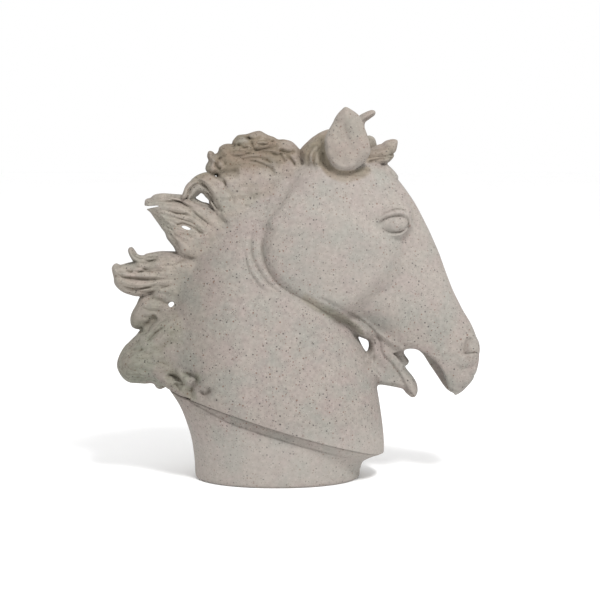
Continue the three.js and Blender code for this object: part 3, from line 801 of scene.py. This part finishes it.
# creases that run along the hair: path in x and z, width, depth
HAIR_GROOVES = [
    ([(98, 366), (112, 368), (122, 369), (131, 371)], 1.3, 2.2),
    ([(96, 360), (110, 364.5), (120, 366), (129, 368)], 1.3, 1.6),
    ([(98, 374), (112, 375), (124, 379)], 1.6, 0.6),
    ([(34, 362), (35, 372), (42, 382), (50, 388)], 1.8, 1.2),
    ([(41, 360), (42, 370), (48, 379), (54, 384)], 1.8, 1.5),
    ([(48, 358), (49, 367), (52, 375)], 2.0, 1.6),
    ([(29, 367), (31, 374), (36, 381)], 1.6, 0.9),
    ([(21, 375), (15, 373), (8, 374), (2, 376)], 1.8, 2.8),
    ([(2, 379), (-5, 379), (-13, 377), (-22, 376), (-27, 379), (-29, 385), (-34, 390)], 1.9, 3.6),
    ([(-38, 391), (-30, 388), (-23, 388), (-17, 392)], 1.6, 2.4),
    ([(-3, 387), (-7, 384), (-13, 382), (-21, 381)], 1.5, 1.9),
    ([(-45, 383), (-41, 380), (-36, 378), (-31, 380)], 1.8, 2.8),
    ([(-56, 373), (-49, 369), (-41, 369), (-34, 371), (-27, 374), (-17, 374), (-7, 372), (1, 370),
      (6, 372)], 1.9, 3.2),
    ([(-48, 365), (-38, 366), (-29, 367), (-19, 367), (-12, 364), (-5, 361)], 1.7, 2.4),
    ([(-48, 361), (-37, 363), (-25, 363), (-18, 360), (-9, 356), (-5, 352), (-2, 346)], 1.9, 2.4),
    ([(10, 373), (13, 368), (18, 362), (21, 357)], 1.8, 2.0),
    ([(4, 373), (6, 367), (10, 361)], 1.8, 1.8),
    ([(-72, 361), (-68, 361), (-66, 365), (-60, 368), (-58, 372)], 1.7, 2.8),
    ([(-66, 366), (-60, 363), (-57, 358)], 1.6, 2.2),
    ([(-70, 360), (-66, 356), (-63, 354)], 1.6, 2.4),
    ([(-72, 352), (-66, 348.5), (-58, 349), (-49, 351.5), (-42, 352)], 4.6, 5.0),
    ([(-64, 349), (-59, 340), (-57, 333), (-52, 327), (-49, 320), (-46, 312)], 2.0, 2.2),
    ([(-98, 338), (-88, 341), (-80, 335), (-74, 326), (-69, 318), (-64, 310), (-58, 305)], 1.8, 2.2),
    ([(-83, 330), (-77, 325), (-72, 318), (-68, 311), (-62, 305)], 1.8, 2.2),
    ([(-96, 344), (-84, 345), (-74, 340), (-66, 330)], 1.8, 1.0),
    ([(-142, 318), (-131, 319), (-120, 318), (-110, 317), (-104, 314), (-97, 308), (-89, 302), (-81, 296),
      (-75, 292), (-69, 292)], 2.2, 3.6),
    ([(-126, 310), (-115, 306), (-104, 304), (-96, 302), (-89, 297), (-83, 292), (-79, 288)], 1.9, 3.0),
    ([(-133, 305), (-122, 301), (-112, 299), (-101, 297), (-93, 293), (-86, 288)], 1.8, 1.5),
    ([(-115, 290), (-109, 293), (-101, 292), (-93, 289), (-87, 284), (-82, 282)], 1.9, 3.0),
    ([(-126, 296), (-120, 290), (-116, 282), (-108, 276), (-99, 268)], 2.0, 1.6),
    ([(-122, 283), (-117, 276), (-112, 268)], 2.0, 1.8),
    ([(-137, 303), (-131, 297), (-126, 290)], 1.8, 1.6),
    ([(-132, 323), (-118, 322.5), (-104, 319), (-95, 314)], 1.6, 0.9),
    ([(-163, 250), (-150, 249), (-141, 251), (-133, 254)], 1.7, 3.0),
    ([(-133, 247), (-120, 246.5), (-110, 250), (-102, 253)], 1.8, 2.2),
    ([(-165, 258), (-158, 254), (-148, 253.5)], 1.5, 1.0),
    ([(-176, 243), (-168, 239), (-161, 237), (-154, 239), (-146, 243)], 1.6, 2.2),
    ([(-182, 238), (-175, 233), (-163, 231), (-150, 230), (-139, 230), (-129, 231)], 2.2, 4.2),
    ([(-176, 225), (-169, 221), (-160, 219), (-147, 221), (-139, 223), (-127, 223), (-113, 225)], 1.8, 2.6),
    ([(-154, 214.5), (-144, 215), (-136, 218.5), (-128, 221), (-119, 223)], 1.6, 1.8),
    ([(-153, 243.5), (-144, 240), (-136, 240), (-124, 241)], 2.4, 2.0),
    ([(-170, 229), (-158, 226), (-145, 227)], 1.5, 1.0),
    ([(-146, 209.5), (-139, 208), (-131, 205.5), (-125, 202), (-119, 198)], 2.2, 2.8),
    ([(-163, 183), (-156, 178), (-150, 178), (-145, 184)], 3.2, 1.2),
    ([(-160, 170), (-150, 177), (-143, 184), (-136, 188)], 2.6, 3.4),
    ([(-147, 160), (-141, 167), (-134, 173), (-126, 179)], 1.9, 2.8),
    ([(-170, 148), (-158, 152), (-146, 150)], 3.0, 1.0),
    ([(-178, 133), (-166, 128), (-152, 130), (-140, 126)], 3.0, 1.4),
    ([(-150, 140), (-140, 136), (-130, 138), (-122, 134)], 2.6, 1.4),
    ([(-170, 122), (-158, 121), (-148, 117), (-140, 118)], 2.2, 1.6),
    ([(-140, 150), (-130, 155), (-120, 165), (-114, 176)], 3.0, 1.2),
    ([(-127, 121.5), (-119, 123), (-110, 119.5), (-106, 115), (-114, 114)], 2.8, 4.2),
    ([(-107, 127), (-97, 126), (-89.8, 122), (-91.6, 114.5), (-96, 107.5), (-94.5, 99)], 3.8, 6.0),
    ([(-86, 110.5), (-81, 104.8), (-76.6, 107.6), (-74, 114.4)], 3.0, 4.6),
    ([(-116, 115), (-112, 111), (-109, 106)], 2.2, 2.0),
]

HAIR_WIDTH = 1.2          # the creases are this much wider and deeper than in the list
HAIR_DEPTH = 1.3

# fine strands between two paths: first path, last path, how many, width, depth
COMBED = [
    ([(6, 383), (-8, 386), (-22, 388), (-36, 385), (-48, 383)],
     [(12, 368), (-8, 372), (-26, 371), (-42, 371), (-62, 372)], 5, 1.2, 1.4),
    ([(-50, 366), (-30, 365), (-10, 360), (2, 348)],
     [(-46, 356), (-30, 356), (-16, 351), (-8, 341)], 3, 1.2, 1.1),
    ([(-103, 326), (-98, 338), (-88, 344), (-78, 338), (-68, 322), (-56, 306)],
     [(-98, 324), (-92, 334), (-84, 333), (-77, 323), (-70, 313), (-62, 303)], 3, 1.2, 1.2),
    ([(-147, 316), (-130, 322), (-112, 320), (-98, 314), (-86, 306), (-72, 296)],
     [(-143, 314), (-128, 315), (-112, 313), (-100, 307), (-90, 300), (-80, 293)], 3, 1.2, 1.4),
    ([(-140, 309), (-124, 309), (-108, 305), (-94, 298), (-80, 289)],
     [(-134, 294), (-124, 289), (-112, 282), (-100, 277), (-88, 274)], 6, 1.2, 1.3),
    ([(-165, 260), (-150, 256), (-136, 258), (-118, 257)],
     [(-160, 251), (-146, 250), (-132, 249), (-112, 249)], 2, 1.2, 1.2),
    ([(-180, 242), (-162, 246), (-146, 245), (-128, 244), (-108, 244)],
     [(-180, 220), (-162, 214), (-148, 214), (-134, 216), (-116, 220)], 8, 1.3, 1.4),
    ([(-150, 209), (-138, 206), (-124, 200)], [(-162, 178), (-148, 176), (-134, 186)], 4, 1.6, 0.9),
    ([(-162, 162), (-150, 168), (-138, 180)], [(-176, 140), (-156, 136), (-136, 146)], 3, 2.4, 1.2),
    ([(36, 350), (32, 364), (36, 380), (46, 390)],
     [(62, 350), (60, 366), (62, 380), (68, 390)], 5, 1.3, 0.7),
    ([(100, 375), (114, 377), (132, 380)], [(98, 362), (112, 364), (130, 371)], 3, 1.1, 0.8),
]

# where the sky shows through the mane
WINDOWS = [
    [(-92.2, 321.4), (-89.4, 323.6), (-86, 324.2), (-82, 322.2), (-78.4, 319.6), (-77.6, 317),
     (-84.5, 317.3)],
    [(-109.4, 289.4), (-106, 290), (-102, 289.2), (-97, 286.2), (-98, 285), (-102, 284.9), (-106, 286.4)],
    [(-124.5, 199.6), (-122.5, 202.5), (-119, 203.3), (-117.2, 201), (-119, 198), (-122, 196.6)],
    [(-156, 312.6), (-150.5, 312.4), (-144.2, 312.4), (-134.8, 313.0), (-133, 311.8), (-141.8, 309.8),
     (-148, 308.8), (-156, 309)],
]


# ---------------------------------------------------------------- cutting into pieces

CLAIM = 1.2               # a piece owns the surface this near to its own clay, mm
TUCK = 3.0                # how far a piece runs on under its neighbour, mm
PROUD = 0.006             # what each piece stands proud of the pieces under it, mm
HAIR_REACH = 56           # the hair lies nearer than this to the middle plane, mm


def hair_clay(lock, seed):
    """One lock of hair with the strands round its edge."""
    clay = slab_clay([lock])
    strands(clay)
    lumps(clay, 10.0, 0.35, seed)
    return clay


def outline_clay(outline, hair):
    """The stretch of the hair inside an outline, right through the sculpture."""
    clay = Clay(*block_round(outline, -HAIR_REACH, HAIR_REACH, 2))
    gap, _, _, inside = measure(outline, clay.axis(0)[:, :, 0], clay.axis(2)[0], closed=True)
    prism = np.where(inside, -gap, gap).astype(np.float32)
    theirs, _, _ = hair.window(clay.low, clay.high)
    clay.values = np.maximum(prism[:, None, :], theirs)
    return clay


def body_clay(own):
    """The neck, the head and the jaw in one surface, with the marks of the face."""
    body = Clay()
    merge(body, neck_clay(), 0)
    merge(body, own["head_shell"], 2.5)
    jowl_crease(body)
    carve_head(body)
    merge(body, own["lower_jaw"], 7)
    face_strokes(body)
    bare_mouth(body)
    merge(body, own["tongue"], 1)
    opening(body, MOUTH, 2.0)
    opening(body, THROAT_GAP)
    eye(body)
    eye_strokes(body)
    return body


def add_hair(whole):
    """Adds the hair to the bust with its creases and windows; returns the hair and the curls."""
    hair = Clay()
    for seed, locks in enumerate((FORELOCK, POLL, CREST, ARCH, MANE)):
        for lock in locks:
            merge(hair, hair_clay(lock, seed), 1.5)
    curls = [hair_clay(lock, 20 + i) for i, lock in enumerate(NAPE)]
    merge(whole, hair, 5.0)
    for curl in curls:
        merge(whole, curl, 4.0)
    for path, width, depth in HAIR_GROOVES:
        groove(whole, path, width * HAIR_WIDTH, depth * HAIR_DEPTH)
    for strip in COMBED:
        combed(whole, *strip)
    for outline in WINDOWS:
        opening(whole, outline)
    return hair, curls


def cut_pieces(whole, claims):
    """Cuts the surface into a piece for each claim; the neck is what nothing claims."""
    pieces = {}
    claimed = Clay()
    rise = PROUD * (len(claims) + 4)
    for name, claim in claims.items():
        piece = Clay(claim.low - 3, claim.high + 3)
        surface, _, _ = whole.window(piece.low, piece.high)
        taken, _, _ = claimed.window(piece.low, piece.high)
        view, theirs = piece.part_of(claim)
        view[...] = theirs
        mine = piece.values - CLAIM
        piece.values = np.maximum(np.maximum(surface - rise, mine), -taken - TUCK)
        taken[...] = np.minimum(taken, mine)
        pieces[name] = piece
        rise -= PROUD
    neck = Clay()
    neck.values = np.maximum(whole.values, -claimed.values - TUCK)
    neck.values = np.maximum(neck.values, -lip_field(neck))
    pieces["neck_shell"] = neck
    return pieces


def sculpt():
    """The clay of every piece by name, the surface of the whole bust, and the hair with the patches of
    painted shade and stain.
    """
    own = {name: slab_clay(slabs) for name, slabs in EARS.items()}
    mark_right_ear(own["right_ear"])
    own["tongue"] = slab_clay(TONGUE)
    own["lower_jaw"] = jaw_clay()
    own["head_shell"] = head_clay()
    whole = body_clay(own)
    hair, curls = add_hair(whole)
    merge(whole, own["left_ear"], 3)
    ear_crevices(whole)
    merge(whole, own["right_ear"], 3.5)
    lumps(whole, 22.0, 0.5, 40)

    claims = {name: own.pop(name) for name in EARS}
    claims.update(zip(("nape_curl_back", "nape_curl_middle", "nape_curl_front"), curls))
    claims.update({name: outline_clay(outline, hair) for name, outline in CASTINGS.items()})
    claims.update(own)
    pieces = cut_pieces(whole, claims)
    pieces["plinth"] = plinth_clay()
    merge(whole, pieces["plinth"], 0)
    # the curls and the patches under the ear, the cheek and the nape take the hair's stains and painted
    # shade
    for darkened_patch in curls + shade_and_stain_patches():
        merge(hair, darkened_patch, 0)
    return pieces, whole, hair


def blurred(values, reach):
    """The values averaged over a cube that reaches this many cells each way."""
    for axis in range(3):
        n = values.shape[axis]
        total = np.cumsum(np.pad(values, [(reach + 1, reach) if k == axis else (0, 0) for k in range(3)],
                                 mode="edge"), axis, dtype=np.float32)
        ahead = np.take(total, np.arange(2 * reach + 1, n + 2 * reach + 1), axis)
        behind = np.take(total, np.arange(n), axis)
        values = (ahead - behind) / (2 * reach + 1)
    return values


def hollows(whole, reach):
    """How sunken each place of the surface is: above 0 in creases, below 0 on ridges."""
    size = reach * VOXEL
    return -blurred(np.clip(whole.values, -size, size), reach) / size


def at_points(values, points):
    """Values of the grid at points in mm."""
    place = (points - LOW) / VOXEL
    i = np.clip(place.astype(int), 0, np.array(values.shape) - 2)
    f = (place - i).astype(np.float32)
    total = np.zeros(len(points), np.float32)
    for corner in range(8):
        step = np.array([corner & 1, corner >> 1 & 1, corner >> 2 & 1])
        weight = np.prod(np.where(step, f, 1 - f), axis=1)
        x, y, z = (i + step).T
        total += weight * values[x, y, z]
    return total


def mesh_of(name, clay, marks):
    grid = openvdb.FloatGrid(BAND)
    grid.copyFromArray(np.ascontiguousarray(clay.values))
    points, quads = grid.convertToQuads(0.0)
    points = (points + clay.low) * VOXEL + LOW
    mesh = bpy.data.meshes.new(name)
    mesh.vertices.add(len(points))
    mesh.vertices.foreach_set("co", (points * MM).astype(np.float32).ravel())
    mesh.loops.add(quads.size)
    mesh.loops.foreach_set("vertex_index", quads.astype(np.int32).ravel())
    mesh.polygons.add(len(quads))
    mesh.polygons.foreach_set("loop_start", np.arange(0, quads.size, 4, dtype=np.int32))
    mesh.polygons.foreach_set("use_smooth", np.ones(len(quads), bool))
    for mark, values in marks.items():
        layer = mesh.attributes.new(mark, "FLOAT", "POINT")
        layer.data.foreach_set("value", at_points(values, points))
    mesh.update()
    mesh.validate()
    return mesh


# ---------------------------------------------------------------- materials

class Recipe:
    """Builds the nodes of one material."""

    def __init__(self, name):
        self.material = bpy.data.materials.new(name)
        self.material.use_nodes = True
        self.nodes = self.material.node_tree.nodes
        self.links = self.material.node_tree.links
        self.shader = self.nodes["Principled BSDF"]
        self.place = self.nodes.new("ShaderNodeTexCoord").outputs["Object"]

    def add(self, kind, inputs, **settings):
        node = self.nodes.new("ShaderNode" + kind)
        for key, value in settings.items():
            setattr(node, key, value)
        for key, value in inputs.items():
            self.put(node.inputs[key], value)
        return node

    def put(self, socket, value):
        if isinstance(value, bpy.types.NodeSocket):
            self.links.new(value, socket)
        else:
            socket.default_value = value

    def finish(self, **inputs):
        for key, value in inputs.items():
            self.put(self.shader.inputs[key.replace("_", " ").title()], value)
        return self.material

    def noise(self, scale, detail=2.0, stretch=None):
        place = self.place
        if stretch:
            place = self.add("Mapping", {"Vector": place, "Scale": stretch}).outputs[0]
        return self.add("TexNoise", {"Vector": place, "Scale": scale, "Detail": detail}).outputs["Fac"]

    def remap(self, value, low, high, to_low=0.0, to_high=1.0):
        return self.add("MapRange", {"Value": value, "From Min": low, "From Max": high,
                                     "To Min": to_low, "To Max": to_high}).outputs["Result"]

    def math(self, operation, a, b):
        return self.add("Math", {0: a, 1: b}, operation=operation).outputs[0]

    def times(self, a, b):
        return self.math("MULTIPLY", a, b)

    def most(self, a, b):
        return self.math("MAXIMUM", a, b)

    def grey(self, value):
        return self.add("CombineColor", {0: value, 1: value, 2: value}).outputs[0]

    def blend(self, share, a, b, mode="MIX"):
        return self.add("Mix", {0: share, 6: a, 7: b}, data_type="RGBA", blend_type=mode).outputs[2]

    def tinted(self, share, colour, tint):
        """The colour, multiplied by a tint as far as share says."""
        return self.blend(share, colour, self.blend(1.0, colour, tint, "MULTIPLY"))

    def specks(self, scale, smallest, largest, share):
        """Scattered grains: how much each place is grain, and a random number for each one."""
        cells = self.add("TexVoronoi", {"Vector": self.place, "Scale": scale, "Randomness": 1.0})
        parts = self.add("SeparateColor", {"Color": cells.outputs["Color"]}).outputs
        size = self.remap(parts[0], 1 - share, 1.0, smallest, largest)
        chosen = self.math("GREATER_THAN", parts[0], 1 - share)
        ragged = self.remap(self.noise(scale * 4), 0.3, 0.7, -0.05, 0.05)
        reach = self.math("ADD", cells.outputs["Distance"], ragged)
        grain = self.remap(self.math("SUBTRACT", size, reach), -0.02, 0.05)
        return self.times(grain, chosen), parts[1]

    def bump(self, height, distance, strength=1.0, normal=None):
        inputs = {"Height": height, "Distance": distance, "Strength": strength}
        if normal:
            inputs["Normal"] = normal
        return self.add("Bump", inputs).outputs["Normal"]


STONE_LIGHT = (0.250, 0.223, 0.198, 1)
STONE_PINK = (0.246, 0.208, 0.190, 1)
STONE_GREEN = (0.214, 0.212, 0.188, 1)
# the colour of the painted shade and dirt in the hollows
SHADE_AND_GRIME_COLOUR = (0.066, 0.053, 0.033, 1)
GRAIN_DARK = (0.040, 0.034, 0.032, 1)
GRAIN_RED = (0.130, 0.072, 0.050, 1)
PALE_GRAIN_AND_HIGHLIGHT = (0.360, 0.335, 0.305, 1)
# what the weather leaves of the stone's colour on the hair at the top, half way and low down;
# then off the hair, painted shade on the back of the neck, and painted shade with stain over the crown of
# the head
TOP_STAIN = (0.74, 0.69, 0.59, 1)
MANE_STAIN = (1.04, 1.02, 0.97, 1)
LOW_STAIN = (0.73, 0.77, 0.70, 1)
NECK_BACK_SHADE = (0.80, 0.80, 0.78, 1)
CROWN_SHADE_AND_STAIN = (0.86, 0.81, 0.76, 1)


def bare_stone(stone):
    """The cast stone itself: blotches and three sizes of grain."""
    colour = stone.blend(stone.remap(stone.noise(48, 4), 0.42, 0.62, 0, 0.8), STONE_LIGHT, STONE_PINK)
    colour = stone.blend(stone.remap(stone.noise(30, 5), 0.46, 0.66, 0, 0.7), colour, STONE_GREEN)
    shade = stone.remap(stone.noise(220, 5), 0.3, 0.7, 0.86, 1.12)
    colour = stone.blend(1.0, colour, stone.grey(shade), "MULTIPLY")
    pale, _ = stone.specks(330, 0.10, 0.30, 0.45)
    colour = stone.blend(stone.times(pale, 0.4), colour, PALE_GRAIN_AND_HIGHLIGHT)
    grain = stone.blend(stone.remap(stone.noise(90), 0.45, 0.6), GRAIN_DARK, GRAIN_RED)
    fine, _ = stone.specks(460, 0.14, 0.36, 0.62)
    colour = stone.blend(stone.times(fine, 0.5), colour, grain)
    coarse, tint = stone.specks(270, 0.10, 0.30, 0.58)
    grain = stone.blend(stone.remap(tint, 0.45, 0.6), GRAIN_DARK, GRAIN_RED)
    return stone.blend(stone.times(coarse, 0.85), colour, grain)


def stains_and_painted_shade(stone, colour, on_hair, along, height):
    """Painted shade on the back of the neck under the nape, a darker crown of painted shade and stain, a
    paler face and foot, and the stains of the hair.
    """
    # painted shade: the back of the neck, off the hair, is darkened where it turns away from the light
    back_shade = stone.times(stone.remap(along, -0.035, -0.085), stone.remap(height, 0.075, 0.10))
    back_shade = stone.times(back_shade, stone.math("SUBTRACT", 1.0, on_hair))
    colour = stone.tinted(back_shade, colour, NECK_BACK_SHADE)
    # the crown of the head is darker and browner, partly painted shade and partly stain
    colour = stone.tinted(stone.remap(height, 0.345, 0.372, 0, 0.8), colour, CROWN_SHADE_AND_STAIN)
    face = stone.times(stone.remap(along, -0.010, 0.050), stone.remap(height, 0.180, 0.210, 0, 0.15))
    # the face and the foot are made paler
    pale_face_and_foot = stone.most(face, stone.remap(height, 0.075, 0.045, 0, 0.30))
    colour = stone.blend(pale_face_and_foot, colour, PALE_GRAIN_AND_HIGHLIGHT)
    over_crest = stone.math("SUBTRACT", height, stone.times(along, 0.2))
    top = stone.times(stone.remap(along, 0.020, 0.035), stone.remap(height, 0.335, 0.352))
    top = stone.most(top, stone.remap(over_crest, 0.352, 0.364))
    top = stone.times(top, stone.remap(along, 0.110, 0.095, 0.35, 1))
    stain = stone.blend(top, MANE_STAIN, TOP_STAIN)
    stain = stone.blend(stone.remap(height, 0.225, 0.180), stain, LOW_STAIN)
    return stone.tinted(on_hair, colour, stain)


def hollow_shade_and_grime_in(stone, fine_hollow, wide_hollow, on_hair):
    """How much the hollows are darkened by painted shade and dirt, and more in the lines of the hair, with
    streaks of stain there.
    """
    hollow_shade_and_grime = stone.most(stone.remap(fine_hollow, 0.10, 0.75, 0, 0.75),
                      stone.remap(wide_hollow, 0.10, 0.62, 0, 0.68))
    streak = stone.remap(stone.noise(210, 4, (0.16, 1, 1)), 0.50, 0.66, 0, 0.32)
    lined_shade_and_streaks = stone.most(stone.remap(fine_hollow, 0.03, 0.36, 0, 0.80), streak)
    lined_shade_and_streaks = stone.most(lined_shade_and_streaks, stone.remap(wide_hollow, 0.02, 0.40, 0, 0.62))
    hollow_shade_and_grime = stone.most(hollow_shade_and_grime, stone.times(lined_shade_and_streaks, on_hair))
    return stone.times(hollow_shade_and_grime, stone.remap(stone.noise(60, 3), 0.3, 0.6, 0.75, 1.0))


def stone_material():
    stone = Recipe("cast_stone")
    colour = bare_stone(stone)
    fine_hollow, wide_hollow, off_hair = (stone.add("Attribute", {}, attribute_name=mark).outputs["Fac"]
                                          for mark in ("crease", "hollow", "hair"))
    along, _, height = stone.add("SeparateXYZ", {"Vector": stone.place}).outputs
    wander = stone.remap(stone.noise(45, 3), 0.3, 0.7, -2, 2)
    on_hair = stone.remap(stone.math("ADD", off_hair, wander), 2.5, -1.0)
    colour = stains_and_painted_shade(stone, colour, on_hair, along, height)
    # painted shade, with some dirt, darkens the creases and hollows, and the lines of the hair most
    colour = stone.blend(hollow_shade_and_grime_in(stone, fine_hollow, wide_hollow, on_hair), colour, SHADE_AND_GRIME_COLOUR)
    # the ridges are painted paler, partly as wear and partly as a painted highlight
    colour = stone.blend(stone.remap(fine_hollow, -0.60, -0.10, 0.25, 0), colour, PALE_GRAIN_AND_HIGHLIGHT)
    pits = stone.bump(stone.noise(900, 3), 0.0004, 0.5)
    normal = stone.bump(stone.noise(210, 4), 0.0009, 0.5, pits)
    rough = stone.remap(stone.noise(300, 2), 0.3, 0.7, 0.82, 0.97)
    return stone.finish(base_color=colour, roughness=rough, normal=normal)


STONE = stone_material()


def add_castings():
    pieces, whole, hair = sculpt()
    marks = {"crease": hollows(whole, round(2.5 / VOXEL)), "hollow": hollows(whole, round(7.5 / VOXEL)),
             "hair": hair.values}
    for name, clay in pieces.items():
        piece = bpy.data.objects.new(name + "_cast", mesh_of(name + "_cast", clay, marks))
        bpy.context.collection.objects.link(piece)
        piece.data.materials.append(STONE)
        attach(piece, "casting")
        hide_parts(name)


add_castings()


# material: name, its nodes, darkest and lightest colour, roughness, grain, bump in m, metallic
BASE_MATERIALS = (
    ("base_plastic", ("base_plate",), (0.030, 0.032, 0.034), (0.045, 0.047, 0.050), 0.5, 60, 0.0002, 0.0),
    ("mat_rubber", ("base_mat",), (0.016, 0.016, 0.017), (0.030, 0.030, 0.031), 0.85, 150, 0.0005, 0.0),
    ("cap_plastic", ("filler_cap",), (0.055, 0.058, 0.062), (0.075, 0.079, 0.084), 0.42, 90, 0.0001, 0.0),
    ("sand", ("sand_ballast",), (0.42, 0.33, 0.21), (0.58, 0.48, 0.33), 0.93, 700, 0.0012, 0.0),
    ("screw_steel", [f"base_screw_{i}" for i in range(1, 5)], (0.50, 0.50, 0.51), (0.60, 0.60, 0.61),
     0.32, 200, 0.0001, 1.0),
)


def moulded(name, dark, light, rough, grain, depth, metallic):
    """A plain moulded or sawn material with a faint unevenness of colour, polish and surface."""
    recipe = Recipe(name)
    share = recipe.remap(recipe.noise(grain, 3), 0.35, 0.65)
    colour = recipe.blend(share, (*dark, 1), (*light, 1))
    polish = recipe.remap(recipe.noise(grain * 3, 2), 0.3, 0.7, rough - 0.06, rough + 0.06)
    normal = recipe.bump(recipe.noise(grain * 6, 3), depth, 0.6)
    return recipe.finish(base_color=colour, roughness=polish, normal=normal, metallic=metallic)


def finish_base_parts():
    for name, nodes, *looks in BASE_MATERIALS:
        material = moulded(name, *looks)
        for node in nodes:
            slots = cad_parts[node].data.materials
            slots.clear()
            slots.append(material)


finish_base_parts()

# ---------------------------------------------------------------- stage and light


def add_floor():
    bpy.ops.mesh.primitive_plane_add(size=14)
    floor = bpy.context.object
    floor.name = "floor"
    paint = Recipe("floor_white")
    tone = paint.remap(paint.noise(3), 0.3, 0.7, 0.985, 0.995)
    floor.data.materials.append(paint.finish(base_color=paint.grey(tone), roughness=0.8))


def add_studio(strength):
    world = bpy.data.worlds.new("studio")
    bpy.context.scene.world = world
    world.use_nodes = True
    air = world.node_tree.nodes["Background"]
    air.inputs["Color"].default_value = (1, 1, 1, 1)
    air.inputs["Strength"].default_value = strength


def add_lamp(name, place, size, energy):
    """A soft square lamp that points at the bust."""
    light = bpy.data.lights.new(name, "AREA")
    light.size = size
    light.energy = energy
    lamp = bpy.data.objects.new(name, light)
    lamp.location = place
    away = lamp.location - Vector(AIM)
    lamp.rotation_euler = away.to_track_quat("Z", "Y").to_euler()
    bpy.context.collection.objects.link(lamp)


add_floor()
add_studio(1.0)
add_lamp("key", (0.55, -1.25, 1.85), 0.45, 39)
